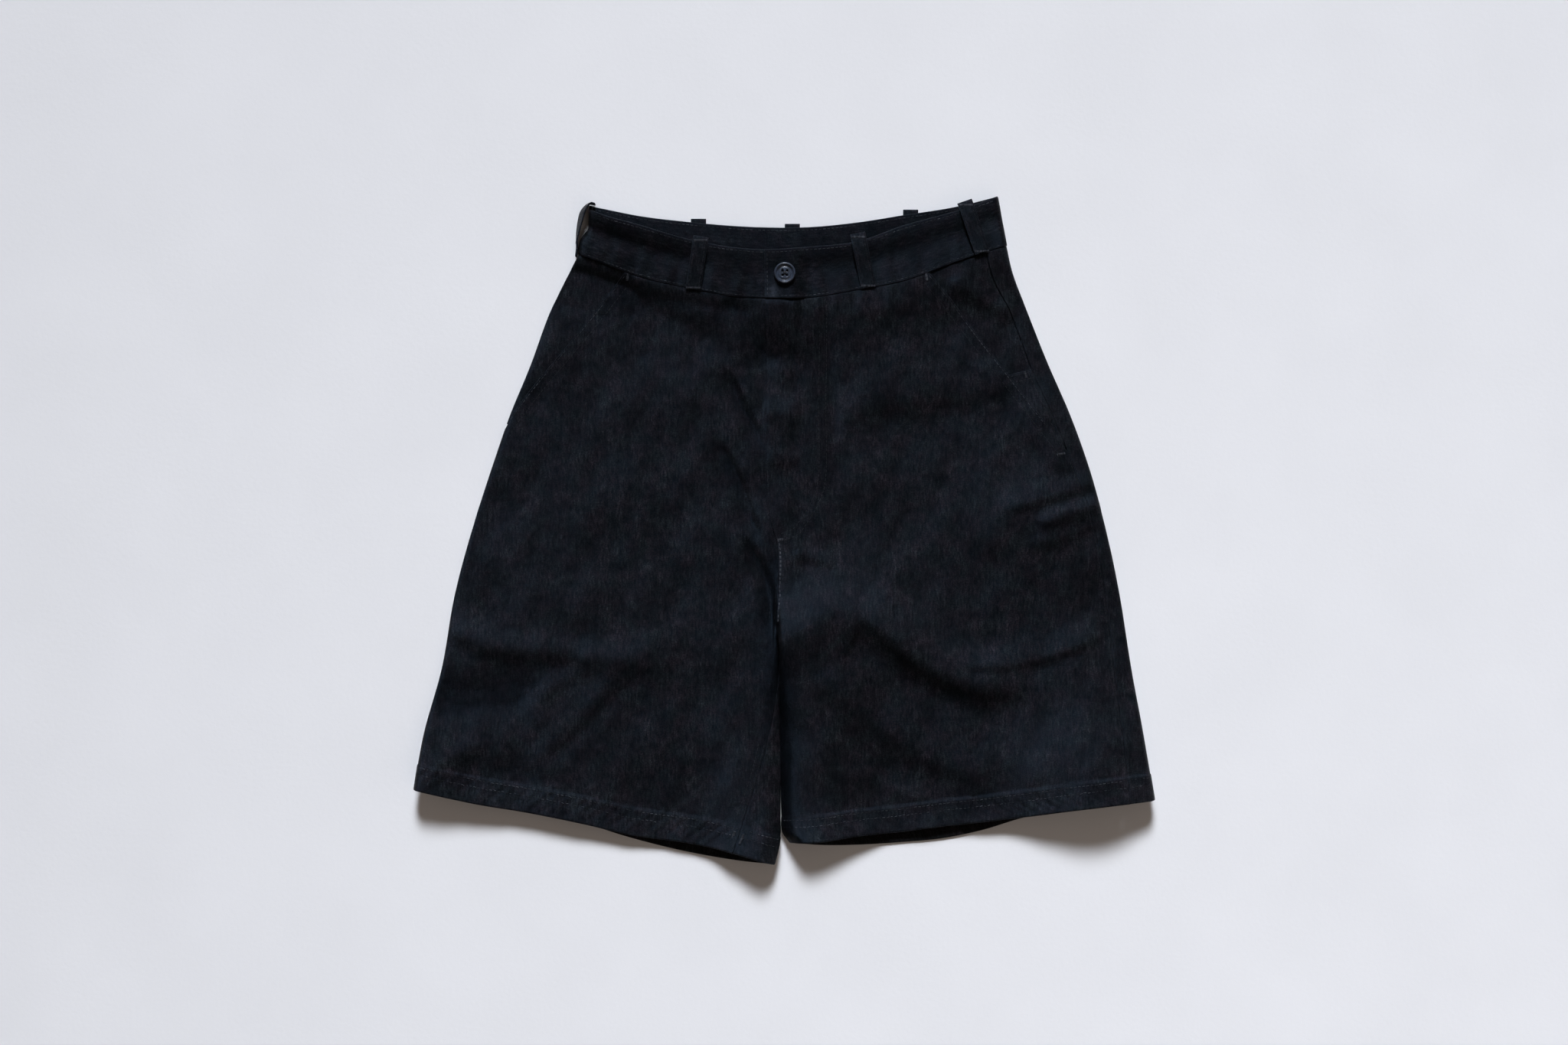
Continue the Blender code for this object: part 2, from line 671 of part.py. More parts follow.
def facing(side, material):
    """The cloth seen in a slash pocket's mouth, which runs on under the front panel."""
    rows = ROWS[ROWS[:, 0] < SLASH_END[side]]
    start = slash_place(side, rows) - FACING_UNDERLAP
    end = outseam_place(side, rows) - SEAM_GAP / 2
    tips = [] if side == LEFT else [width(side, FRONT, rows)]
    fills = [FACING_COLUMNS] if side == LEFT else [FACING_COLUMNS, 0]
    places = columns(start, end, tips, fills)
    points = ring_points(side, rows, places, rise=-FACING_DROP)
    return shell(f"{side}_pocket_facing", points, CLOTH, material)


def coin_pocket(material):
    rows = ROWS[(ROWS[:, 0] >= COIN_TOP) & (ROWS[:, 0] < COIN_BOTTOM)]
    start = slash_place(LEFT, rows) - COIN_UNDERLAP
    end = outseam_place(LEFT, rows) - SEAM_GAP / 2
    places = columns(start, end, [], [COIN_COLUMNS])
    rise = CLOTH + SEAM_GAP - FACING_DROP
    return shell("coin_pocket", ring_points(LEFT, rows, places, rise=rise), CLOTH, material)


# --- Waistband, belt loops and button -----------------------------------------------------


def band_points(side, layer, place, up):
    """Middle points of the waistband: place is plan distance from the centre, up its height share."""
    reach = width(side, layer, np.array(0.0))
    share = place / reach
    low_x, low_y = plan(side, layer, np.array(0.0), share)
    high_x = mix(CENTRE_X[layer](CENTRE_TOP_Y), BAND_TIP_X[side], share)
    high_y = TOP_Y[layer](high_x)
    to_fold = soft_step(1 - (reach - place) / BAND_FOLD_REACH)
    x = mix(low_x, high_x, up) + TOWARDS[side] * BAND_FOLD_OUT[side](up) * to_fold
    y = mix(low_y, high_y, up)
    high, low = front_level(x, y), back_level(x, y)
    middle, half = (high + low) / 2, (high - low) / 2
    turned = turn_share(reach - place) * (1 if layer == FRONT else -1)
    return np.stack([x, y, middle + half * turned], axis=-1)


def band_stretch(side, layer, start, fill):
    """Places from near the centre out to the fold, the last ones close together."""
    reach = width(side, layer, np.array(0.0))
    bend = reach + LADDER[: len(FOLD_TURNS) + 1]
    return np.concatenate([np.linspace(start, bend[0], fill, endpoint=False), bend])


def waistband(material):
    """One strip: from the tab over the left front, round the back, and under the tab."""
    up = np.linspace(0.0, 1.0, BAND_ROWS + 1)[:, None]
    up = mix(SEAM_GAP / BAND_DEPTH / 2, 1.0, up)
    left_front = band_stretch(LEFT, FRONT, 0.0, BAND_FRONT_COLUMNS)
    left_back = band_stretch(LEFT, BACK, 0.0, BAND_BACK_COLUMNS // 2)[:-1][::-1]
    right_back = band_stretch(RIGHT, BACK, 0.0, BAND_BACK_COLUMNS // 2)[1:-1]
    right_front = band_stretch(RIGHT, FRONT, -BAND_UNDERLAP, BAND_FRONT_COLUMNS)[::-1]
    over = band_points(LEFT, FRONT, left_front[None, :], up)
    over[..., 2] += (BAND_CLOTH + LAP_GAP) * (1 - soft_step((left_front - BAND_LAP_REACH) / BAND_LAP_FADE))
    points = np.concatenate(
        [
            over,
            band_points(LEFT, BACK, left_back[None, :], up),
            band_points(RIGHT, BACK, right_back[None, :], up),
            band_points(RIGHT, FRONT, right_front[None, :], up),
        ],
        axis=1,
    )
    return shell("waistband", points, BAND_CLOTH, material)


def belt_loop(loop, material):
    """A strip on the band's outer face, which bows off it and stands just past its top edge."""
    along = np.linspace(0.0, 1.0, LOOP_ROWS + 1)[:, None]
    middle_x, middle_y = mix(loop.bottom_x, loop.top_x, along), mix(loop.bottom_y, loop.top_y, along)
    run_x, run_y = loop.top_x - loop.bottom_x, loop.top_y - loop.bottom_y
    length = math.hypot(run_x, run_y)
    stand = LOOP_STAND * soft_step((along - LOOP_STAND_START) / (1 - LOOP_STAND_START))
    side = np.array([-0.5, 0.0, 0.5])[None, :] * LOOP_WIDTH
    x = middle_x + side * run_y / length + stand * run_x / length
    y = middle_y - side * run_x / length + stand * run_y / length
    if loop.layer == FRONT:
        off = (BAND_CLOTH + LOOP_CLOTH) / 2 + SEAM_GAP
        z = front_level(middle_x, middle_y) + off + LOOP_BOW * np.sin(math.pi * along)
    else:
        z = np.full_like(along, LOOP_CLOTH / 2)
    points = np.stack([x, y, np.broadcast_to(z, x.shape)], axis=-1)
    return shell(loop.name, points, LOOP_CLOTH, material)


def bowed_loop(material):
    """The right side loop: a strip on edge, bowed out from the band's fold."""
    steps = np.linspace(0, len(BOWED_LOOP) - 1, BOW_ROWS + 1)
    marks = np.arange(len(BOWED_LOOP))
    x = smooth_line(marks, [point.x for point in BOWED_LOOP])(steps)
    y = smooth_line(marks, [point.y for point in BOWED_LOOP])(steps)
    lean = BOWED_LOOP_LEAN * np.sin(math.pi * np.clip(steps / BOWED_LOOP_LEAN_END, 0, 1))
    points = np.stack(
        [
            np.stack([x + lean * up, y, np.full_like(x, BOWED_LOOP_FOOT + LOOP_WIDTH * up)], axis=-1)
            for up in (0.0, 0.5, 1.0)
        ]
    )
    return shell("loop_side_right", points, LOOP_CLOTH, material)


def waist_button(material):
    """A turned four-hole button, sewn on the tab."""
    x, y = BUTTON_PLACE
    lap = BAND_CLOTH + SEAM_GAP
    z = front_level(x, y) + lap + BAND_CLOTH / 2 + BUTTON_LIFT
    mesh = bpy.data.meshes.new("waist_button")
    verts = [(radius, 0.0, height) for radius, height in BUTTON_PROFILE]
    mesh.from_pydata(verts, [(k, k + 1) for k in range(len(verts) - 1)], [])
    mesh.materials.append(material)
    button = bpy.data.objects.new("waist_button", mesh)
    button.location = (x - MIDDLE_X, y - MIDDLE_Y, z)
    turned = button.modifiers.new("Turned", "SCREW")
    turned.steps = turned.render_steps = BUTTON_STEPS
    turned.use_merge_vertices = True
    turned.merge_threshold = WELD
    turned.use_smooth_shade = True
    holes = button.modifiers.new("Holes", "BOOLEAN")
    holes.object = button_holes(button.location)
    PARTS.objects.link(button)
    return button


def button_holes(place):
    made = bmesh.new()
    for quarter in range(4):
        turn = math.radians(45 + 90 * quarter)
        away = BUTTON_HOLE_PITCH / math.sqrt(2)
        pin = bmesh.ops.create_cone(
            made,
            cap_ends=True,
            segments=BUTTON_HOLE_STEPS,
            radius1=BUTTON_HOLE_RADIUS,
            radius2=BUTTON_HOLE_RADIUS,
            depth=BUTTON_HOLE_DEPTH,
        )
        bmesh.ops.translate(
            made, verts=pin["verts"], vec=(away * math.cos(turn), away * math.sin(turn), 0.0)
        )
    mesh = bpy.data.meshes.new("button_holes")
    made.to_mesh(mesh)
    made.free()
    cutter = bpy.data.objects.new("button_holes", mesh)
    cutter.location = place
    cutter.hide_render = True
    cutter.display_type = "WIRE"
    CUTTERS.objects.link(cutter)
    return cutter


# --- Scene --------------------------------------------------------------------------------


def clear_scene():
    for obj in list(bpy.data.objects):
        bpy.data.objects.remove(obj)


def collection(name):
    made = bpy.data.collections.new(name)
    bpy.context.scene.collection.children.link(made)
    return made


def finish(name, colour, roughness):
    """A plain surface of one colour."""
    material = bpy.data.materials.new(name)
    material.use_nodes = True
    shader = material.node_tree.nodes["Principled BSDF"]
    shader.inputs["Base Color"].default_value = (*colour, 1.0)
    shader.inputs["Roughness"].default_value = roughness
    shader.inputs["Metallic"].default_value = 0.0
    return material


def denim(name):
    return finish(f"denim {name}", DENIM, DENIM_ROUGHNESS)


def main():
    for side in (LEFT, RIGHT):
        front_panel(side, denim(f"{side}_front"))
        back_panel(side, denim(f"{side}_back"))
        facing(side, denim(f"{side}_pocket_facing"))
    coin_pocket(denim("coin_pocket"))
    waistband(denim("waistband"))
    for loop in LOOPS:
        belt_loop(loop, denim(loop.name))
    bowed_loop(denim("loop_side_right"))
    waist_button(finish("button", BUTTON_COLOUR, BUTTON_ROUGHNESS))


clear_scene()
PARTS = collection(NAME)
CUTTERS = collection("cutters")
main()
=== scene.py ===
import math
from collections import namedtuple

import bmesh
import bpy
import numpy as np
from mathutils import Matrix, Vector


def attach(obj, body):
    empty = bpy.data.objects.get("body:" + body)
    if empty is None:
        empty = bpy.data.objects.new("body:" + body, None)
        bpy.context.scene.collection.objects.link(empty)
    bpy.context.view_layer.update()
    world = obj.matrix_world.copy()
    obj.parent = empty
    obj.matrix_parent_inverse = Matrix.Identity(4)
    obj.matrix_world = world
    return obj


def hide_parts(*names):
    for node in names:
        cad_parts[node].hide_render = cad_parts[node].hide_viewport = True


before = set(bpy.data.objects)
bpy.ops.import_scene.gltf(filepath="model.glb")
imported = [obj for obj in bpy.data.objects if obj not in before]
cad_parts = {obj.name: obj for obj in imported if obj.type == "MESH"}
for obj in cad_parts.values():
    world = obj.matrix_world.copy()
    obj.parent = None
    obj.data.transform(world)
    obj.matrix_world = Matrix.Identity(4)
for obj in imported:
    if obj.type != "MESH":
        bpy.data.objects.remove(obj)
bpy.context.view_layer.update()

# Wide knee-length denim shorts, laid flat on a pale surface with the front up.
#
# Metres. X runs towards the wearer's left, Y towards the waist and Z up. Left and right are the
# wearer's. Each side of the garment is a flattened tube. A place on it is a row, from 0 at the
# waist seam to 1 at the hem, and a ring place: 0 at the centre or the inner fold, rising over the
# front to the outer fold, then back along the underside. The panels and pockets are fine grids of
# such places, and most lines of sewing run through them.

LEFT, RIGHT = "left", "right"
FRONT, BACK = "front", "back"
SIDES, LAYERS = (LEFT, RIGHT), (FRONT, BACK)
TOWARDS = {LEFT: 1.0, RIGHT: -1.0}

# Cloth thicknesses
CLOTH = 0.0012
HEM_CLOTH = 0.0022
BAND_CLOTH = 0.0024
LOOP_CLOTH = 0.0014
SEAM_GAP = 0.0003
LAP_GAP = 0.00035

# Heights of the middle of each layer, and the plan radius of a side fold
SETTLED = 0.0040
BAND_FRONT_LEVEL = 0.0115
BAND_BACK_LEVEL = 0.0029
WAIST_EASE = 0.055
RIGHT_WAIST_EASE = 0.022
RIGHT_EASE_START, RIGHT_EASE_RUN = -0.020, 0.110
BAND_RISE = 0.0035
BAND_RISE_START = 0.35
BAND_HELD = 0.85
BAND_HELD_REACH = 0.030
FOLD_RADIUS = 0.0036
INNER_FOLD_RADIUS = 0.0140
INNER_FOLD_START = 0.59
INNER_FOLD_FULL = 0.86
ROUND_TURN, SLOPING_TURN = 0.5, 0.95
FOLD_TURNS = (15, 30, 45, 60, 75, 90)
TIP_TURN = 0.20

# Share of the cloth's slack that the waistband holds flat
WAIST_HOLD = 0.6

# Waistband and belt loops
BAND_DEPTH = 0.041
BAND_UNDERLAP = 0.020
BAND_LAP_REACH = 0.022
BAND_LAP_FADE = 0.016
LOOP_WIDTH = 0.0125
LOOP_BOW = 0.0016
LOOP_STAND = 0.0038
LOOP_STAND_START = 0.8
LOOP_EDGE_DROP = 0.0003
LOOP_EDGE_SHARPNESS = 4

# The band's dip below its top edge, which is deepest at the right side
BAND_DIP = 0.0030
BAND_DIP_LEFT = 0.4
BAND_DIP_UP = 0.60
BAND_DIP_HALF = 0.20
BAND_DIP_START = 0.030
BAND_DIP_RUN = 0.060

# Fly: the left front laps over the right one down to the fly's end
FLY_UNDERLAP = 0.008
FLY_LAP_REACH = 0.012
FLY_LAP_FADE = 0.012
FLY_END = 0.435
FLY_FADE_START = 0.465
FLY_FADE_END = 0.515

# Slash pockets: the front's edge lies over the facing, and the coin pocket between them
SLASH_END = {LEFT: 0.363, RIGHT: 0.327}
FACING_STOP = {LEFT: 0.004, RIGHT: 0.010}
FACING_UNDERLAP = 0.014
FACING_DROP = 0.0012
SLASH_RISE = 0.00045
SLASH_REACH = 0.016
SLASH_FADE = 0.012
SLASH_CLEAR = {LEFT: 0.0015, RIGHT: 0.0055}
COIN_TOP, COIN_BOTTOM = 0.214, 0.352
COIN_UNDERLAP = 0.009
COIN_RISE = 0.0015
COIN_REACH = 0.013

# Rows where the front starts to rise over the coin pocket, is up, starts to fall and is down
COIN_RISE_ROWS = (0.169, 0.194, 0.382, 0.412)

# The right outseam lies this far round the side fold
RIGHT_OUTSEAM = 0.0046

# The hems tip up a little towards their edges
HEM_FLARE = 0.0018
HEM_FLARE_RUN = 0.024

# Rows of the waist seam and the hem's edge, of the panels' first points, the crotch and the turned
# hem's top, the plan length of a leg, and the gap at the crotch
AT_WAIST, AT_HEM = np.array(0.0), np.array(1.0)
FIRST_ROW = 0.0004
CROTCH_ROW = 0.59
HEM_ROW = 0.953
HEM_STEP = 0.0012
LEG_LENGTH = 0.455
EDGE_LEFT = 0.32
CROTCH_HALF = 0.0002
CROTCH_EASE = 0.030
CROTCH_STOP = 0.010

# The legs press together: how far each fold moves over, and where along the leg that begins. By
# the crotch the left leg's fold leans over the right's, and by the hems the right's over the left's:
# how high up each fold its outermost line lies at either end, and the rows where they change over
LEG_PRESS = 0.00034
CROTCH_PRESS = 0.00070
PRESS_RUN = 0.03
FoldHeight = namedtuple("FoldHeight", "crotch hem")
FOLD_HEIGHTS = {LEFT: FoldHeight(0.74, 0.06), RIGHT: FoldHeight(0.16, 0.34)}
CHANGE_START, CHANGE_END = 0.66, 0.78
CHANGE_PRESS = 0.6

# Plan height where the centre seams meet the band, and where the back seam eases to the front's
CENTRE_TOP_Y = 0.2
SIDE_EASE_START = 0.14
SIDE_EASE_RUN = 0.04

# The tables' plan places are measured from a point this far from the middle of the laid garment
MIDDLE_X, MIDDLE_Y = 0.0004, 0.0008

# Where each side folds, and how far in from its fold the left outseam lies
Section = namedtuple("Section", "y left_fold right_fold left_outseam")
SECTIONS = (
    Section(-0.2211, 0.3043, -0.3050, 0.0209),
    Section(-0.1676, 0.2955, -0.2961, 0.0172),
    Section(-0.1109, 0.2854, -0.2812, 0.0138),
    Section(-0.0542, 0.2766, -0.2715, 0.0115),
    Section(0.0025, 0.2646, -0.2564, 0.0087),
    Section(0.0592, 0.2489, -0.2381, 0.0118),
    Section(0.0970, 0.2350, -0.2249, 0.0132),
    Section(0.1348, 0.2186, -0.2092, 0.0134),
    Section(0.1852, 0.1985, -0.1903, 0.0126),
    Section(0.2155, 0.1871, -0.1751, 0.0160),
    Section(0.2350, 0.1827, -0.1640, 0.0165),
)
WAIST_SIDE_Y = {LEFT: 0.2347, RIGHT: 0.2274}
HEM_SIDE_Y = {LEFT: -0.2211, RIGHT: -0.2123}

# Where each leg folds at its inner side, and how far the right inseam lies in over the front
InnerLeg = namedtuple("InnerLeg", "y left_fold right_fold right_inseam")
INNER_LEGS = (
    InnerLeg(-0.2741, 0.0057, -0.0088, 0.0345),
    InnerLeg(-0.2564, 0.0057, -0.0046, 0.0325),
    InnerLeg(-0.2480, -0.0002, -0.0036, 0.0312),
    InnerLeg(-0.2360, -0.0012, -0.0038, 0.0272),
    InnerLeg(-0.2090, -0.0020, -0.0037, 0.0188),
    InnerLeg(-0.1900, -0.0022, -0.0038, 0.0140),
    InnerLeg(-0.1550, -0.0028, -0.0044, 0.0056),
    InnerLeg(-0.1260, -0.0030, -0.0046, 0.0012),
    InnerLeg(-0.0950, -0.0034, -0.0052, 0.0000),
    InnerLeg(-0.0781, -0.0048, -0.0066, 0.0000),
)
HEM_INNER_Y = {LEFT: -0.2564, RIGHT: -0.2741}
CROTCH_Y = -0.0781

# The centre seams: the fly's edge and the rise below it, and the seat seam
Centre = namedtuple("Centre", "y front back")
CENTRES = (
    Centre(-0.0781, -0.0057, -0.0057),
    Centre(-0.0416, -0.0044, -0.0038),
    Centre(-0.0090, -0.0057, -0.0021),
    Centre(0.0060, -0.0101, -0.0012),
    Centre(0.0340, -0.0132, 0.0002),
    Centre(0.1096, -0.0132, 0.0035),
    Centre(0.1537, -0.0145, 0.0050),
    Centre(0.2090, -0.0164, 0.0069),
)

# The waistband across: its seam at the front, and its top edge at the front and the back
Waist = namedtuple("Waist", "x front_seam front_top back_top")
WAIST = (
    Waist(-0.1672, 0.2274, 0.2680, 0.2696),
    Waist(-0.1510, 0.2211, 0.2612, 0.2664),
    Waist(-0.1200, 0.2095, 0.2523, 0.2602),
    Waist(-0.0800, 0.2001, 0.2406, 0.2553),
    Waist(-0.0400, 0.1928, 0.2333, 0.2518),
    Waist(-0.0160, 0.1915, 0.2318, 0.2507),
    Waist(0.0200, 0.1920, 0.2340, 0.2509),
    Waist(0.0600, 0.1983, 0.2384, 0.2547),
    Waist(0.1000, 0.2061, 0.2520, 0.2610),
    Waist(0.1400, 0.2208, 0.2629, 0.2673),
    Waist(0.1827, 0.2347, 0.2777, 0.2777),
)

# Each hem across, at the front and the back
Hem = namedtuple("Hem", "x front back")
HEMS = {
    LEFT: (
        Hem(0.0057, -0.2564, -0.2564),
        Hem(0.0284, -0.2552, -0.2583),
        Hem(0.0624, -0.2507, -0.2583),
        Hem(0.0958, -0.2476, -0.2564),
        Hem(0.1298, -0.2432, -0.2533),
        Hem(0.1638, -0.2394, -0.2463),
        Hem(0.1972, -0.2350, -0.2360),
        Hem(0.2426, -0.2281, -0.2281),
        Hem(0.3043, -0.2211, -0.2211),
    ),
    RIGHT: (
        Hem(-0.3043, -0.2123, -0.2123),
        Hem(-0.2526, -0.2243, -0.2235),
        Hem(-0.2092, -0.2318, -0.2312),
        Hem(-0.1657, -0.2407, -0.2405),
        Hem(-0.1310, -0.2490, -0.2514),
        Hem(-0.0680, -0.2589, -0.2665),
        Hem(-0.0353, -0.2665, -0.2715),
        Hem(-0.0088, -0.2741, -0.2741),
    ),
}

# The edge of each slash pocket
Slash = namedtuple("Slash", "y x")
SLASHES = {
    LEFT: (
        Slash(0.0756, 0.2262),
        Slash(0.1260, 0.1874),
        Slash(0.1537, 0.1657),
        Slash(0.1922, 0.1367),
        Slash(0.2104, 0.1216),
    ),
    RIGHT: (
        Slash(0.0844, -0.2331),
        Slash(0.1191, -0.2073),
        Slash(0.1430, -0.1871),
        Slash(0.1802, -0.1569),
        Slash(0.2098, -0.1336),
    ),
}

# How far the band's fold stands out from a straight line between its two edges
BandFold = namedtuple("BandFold", "up left right")
BAND_FOLDS = (
    BandFold(0.00, 0.0000, 0.0000),
    BandFold(0.30, 0.0000, 0.0012),
    BandFold(0.50, 0.0000, -0.0026),
    BandFold(0.80, 0.0000, -0.0013),
    BandFold(1.00, 0.0000, 0.0000),
)
BAND_TIP_X = {LEFT: 0.1752, RIGHT: -0.1594}
BAND_FOLD_REACH = 0.020

# Broad lifts of the cloth, such as the hems' arches and the slack of each thigh: the middle of
# each, its reach across and along the legs, and its height at the front and the back
Swell = namedtuple("Swell", "x y across along front back")
SWELLS = (
    Swell(0.255, -0.225, 0.060, 0.085, 0.0255, 0.0085),
    Swell(-0.300, -0.215, 0.060, 0.085, 0.0150, 0.0080),
    Swell(-0.185, -0.240, 0.065, 0.060, 0.0055, 0.0000),
    Swell(-0.022, -0.280, 0.034, 0.042, 0.0165, 0.0050),
    Swell(0.030, -0.270, 0.036, 0.040, 0.0175, 0.0040),
    Swell(0.030, -0.094, 0.050, 0.056, 0.0105, 0.0000),
    Swell(0.028, -0.185, 0.028, 0.055, 0.0090, 0.0000),
    Swell(-0.030, -0.195, 0.028, 0.055, 0.0060, 0.0000),
    Swell(0.215, 0.012, 0.055, 0.060, 0.0070, 0.0000),
    Swell(0.085, 0.152, 0.062, 0.036, 0.0034, 0.0000),
    Swell(0.120, -0.075, 0.100, 0.110, 0.0035, 0.0000),
    Swell(-0.170, -0.110, 0.085, 0.100, 0.0030, 0.0000),
    Swell(-0.030, 0.075, 0.045, 0.110, 0.0020, 0.0000),
)

# Creases of the front, each drawn from left to right: its height, and its half widths above and
# below the line, which are to the right and the left of a line that runs down
Crease = namedtuple("Crease", "height above below line")
CREASES = (
    # Left leg: the long S-shaped fold from the crotch, the one under it, and small ones below
    Crease(0.0092, 0.0240, 0.0260, (
        (-0.010, -0.086), (-0.005, -0.086), (0.001, -0.086), (0.013, -0.083), (0.030, -0.073),
        (0.048, -0.070), (0.064, -0.072), (0.079, -0.083),
    )),
    Crease(0.0122, 0.0240, 0.0135, (
        (0.056, -0.067), (0.074, -0.074), (0.090, -0.086), (0.107, -0.100), (0.125, -0.112),
        (0.148, -0.122), (0.178, -0.127), (0.212, -0.121),
    )),
    Crease(0.0050, 0.0210, 0.0150, (
        (0.032, -0.108), (0.048, -0.125), (0.068, -0.152), (0.092, -0.169), (0.120, -0.185),
        (0.152, -0.195), (0.196, -0.186),
    )),
    Crease(0.0016, 0.0100, 0.0080, ((0.048, -0.192), (0.073, -0.205), (0.105, -0.218), (0.133, -0.222))),
    Crease(0.0028, 0.0160, 0.0052, (
        (0.133, -0.108), (0.174, -0.110), (0.205, -0.106), (0.240, -0.094), (0.271, -0.079),
    )),
    Crease(0.0016, 0.0060, 0.0045, ((0.006, -0.019), (0.023, -0.021), (0.045, -0.028))),
    # Left leg: pinches below the pocket, the soft fold across the front, and those by the band
    Crease(0.0024, 0.0110, 0.0046, ((0.178, 0.017), (0.205, 0.024), (0.237, 0.034), (0.262, 0.043))),
    Crease(0.0040, 0.0080, 0.0062, (
        (0.206, 0.003), (0.222, 0.010), (0.240, 0.016), (0.258, 0.021), (0.282, 0.028),
    )),
    Crease(0.0017, 0.0090, 0.0055, ((0.195, -0.015), (0.218, -0.008), (0.246, 0.003), (0.268, 0.012))),
    Crease(0.0028, 0.0190, 0.0120, (
        (0.048, 0.102), (0.079, 0.107), (0.117, 0.111), (0.155, 0.117), (0.199, 0.123),
    )),
    Crease(0.0034, 0.0080, 0.0085, ((0.135, 0.210), (0.150, 0.200), (0.174, 0.186), (0.193, 0.178))),
    Crease(0.0012, 0.0120, 0.0070, ((0.045, 0.183), (0.067, 0.181), (0.089, 0.184), (0.114, 0.193))),
    # Right leg: the fold across the thigh, the hollow under it, and the fan down to the hem
    Crease(0.0040, 0.0120, 0.0092, (
        (-0.287, -0.074), (-0.267, -0.083), (-0.251, -0.091), (-0.236, -0.096), (-0.191, -0.099),
        (-0.141, -0.105), (-0.097, -0.110),
    )),
    Crease(-0.0052, 0.0220, 0.0200, (
        (-0.302, -0.138), (-0.267, -0.139), (-0.236, -0.138), (-0.195, -0.128),
    )),
    Crease(0.0024, 0.0110, 0.0090, (
        (-0.244, -0.197), (-0.234, -0.183), (-0.215, -0.161), (-0.195, -0.137), (-0.169, -0.117),
        (-0.147, -0.098),
    )),
    Crease(0.0030, 0.0140, 0.0160, (
        (-0.217, -0.204), (-0.201, -0.190), (-0.176, -0.164), (-0.151, -0.133), (-0.122, -0.101),
        (-0.098, -0.083),
    )),
    Crease(-0.0015, 0.0060, 0.0070, (
        (-0.232, -0.183), (-0.210, -0.155), (-0.185, -0.133), (-0.160, -0.115),
    )),
    Crease(-0.0015, 0.0060, 0.0070, (
        (-0.210, -0.196), (-0.179, -0.177), (-0.147, -0.144), (-0.110, -0.112),
    )),
    Crease(-0.0010, 0.0120, 0.0130, (
        (-0.273, -0.193), (-0.242, -0.200), (-0.204, -0.204), (-0.160, -0.205),
    )),
    Crease(0.0018, 0.0080, 0.0060, ((-0.292, -0.197), (-0.267, -0.183), (-0.236, -0.171))),
    # Right front: troughs that run into the fly's edge, and down beside the rise
    Crease(-0.0026, 0.0100, 0.0100, (
        (-0.050, 0.193), (-0.042, 0.183), (-0.029, 0.166), (-0.018, 0.141), (-0.014, 0.113),
    )),
    Crease(-0.0040, 0.0050, 0.0078, (
        (-0.052, 0.141), (-0.041, 0.115), (-0.034, 0.101), (-0.026, 0.086), (-0.013, 0.058),
    )),
    Crease(-0.0042, 0.0050, 0.0078, (
        (-0.062, 0.084), (-0.047, 0.057), (-0.040, 0.042), (-0.033, 0.026), (-0.026, 0.006),
        (-0.018, -0.016),
    )),
    Crease(-0.0044, 0.0056, 0.0064, (
        (-0.037, 0.000), (-0.027, -0.017), (-0.020, -0.030), (-0.014, -0.046), (-0.011, -0.066),
        (-0.010, -0.088),
    )),
    # Across the fly: its low bumps and the dip between them, and the trough along its sewing
    Crease(0.0030, 0.0060, 0.0300, ((-0.019, 0.186), (-0.003, 0.186), (0.016, 0.185))),
    Crease(-0.0022, 0.0130, 0.0080, ((-0.026, 0.146), (-0.012, 0.144), (0.000, 0.143), (0.012, 0.146))),
    Crease(0.0026, 0.0120, 0.0110, ((-0.019, 0.098), (-0.003, 0.098), (0.016, 0.098))),
    Crease(0.0014, 0.0080, 0.0060, ((-0.016, 0.060), (-0.001, 0.059), (0.014, 0.060))),
    Crease(-0.0016, 0.0070, 0.0070, ((0.031, 0.190), (0.036, 0.150), (0.040, 0.100), (0.042, 0.040))),
    # Right front: troughs under the band
    Crease(-0.0050, 0.0150, 0.0120, (
        (-0.198, 0.196), (-0.180, 0.201), (-0.160, 0.200), (-0.140, 0.195), (-0.116, 0.190),
    )),
    Crease(-0.0014, 0.0060, 0.0060, ((-0.120, 0.196), (-0.090, 0.190), (-0.050, 0.184), (-0.010, 0.181))),
)
CREASE_FADE = 0.22
CREASE_STEPS = 4
CREASE_REACH = 3.0

# Slack of the whole front: long low waves that cross each other
Wave = namedtuple("Wave", "length heading height start")
WAVES = (
    Wave(0.210, 20, 0.00070, 0.3),
    Wave(0.134, -35, 0.00062, 1.7),
    Wave(0.093, 70, 0.00054, 2.9),
    Wave(0.067, 112, 0.00044, 0.8),
    Wave(0.049, 8, 0.00034, 4.1),
    Wave(0.038, 141, 0.00027, 5.2),
    Wave(0.029, 58, 0.00019, 2.2),
    Wave(0.021, -22, 0.00012, 3.6),
)

# Puckers beside a line of sewing: their spacing, reach from the line, height and slant
Pucker = namedtuple("Pucker", "spacing reach height slant")
HEM_PUCKER = Pucker(0.0094, 0.0110, 0.00054, 0.9)
SEAM_PUCKER = Pucker(0.0110, 0.0075, 0.00022, 0.4)
WAIST_PUCKER = Pucker(0.0200, 0.0220, 0.00055, 0.1)

# Belt loops that lie on the band, by their middle line's plan place at the top and the bottom
Loop = namedtuple("Loop", "name layer top_x top_y bottom_x bottom_y")
LOOPS = (
    Loop("loop_front_left", FRONT, 0.0611, 0.2412, 0.0696, 0.2006),
    Loop("loop_front_right", FRONT, -0.0687, 0.2384, -0.0747, 0.1990),
    Loop("loop_side_left", FRONT, 0.1495, 0.2675, 0.1630, 0.2290),
    Loop("loop_back_left", BACK, 0.1046, 0.2617, 0.1046, 0.2210),
    Loop("loop_back_centre", BACK, 0.0069, 0.2500, 0.0069, 0.2100),
    Loop("loop_back_right", BACK, -0.0706, 0.2542, -0.0706, 0.2140),
)

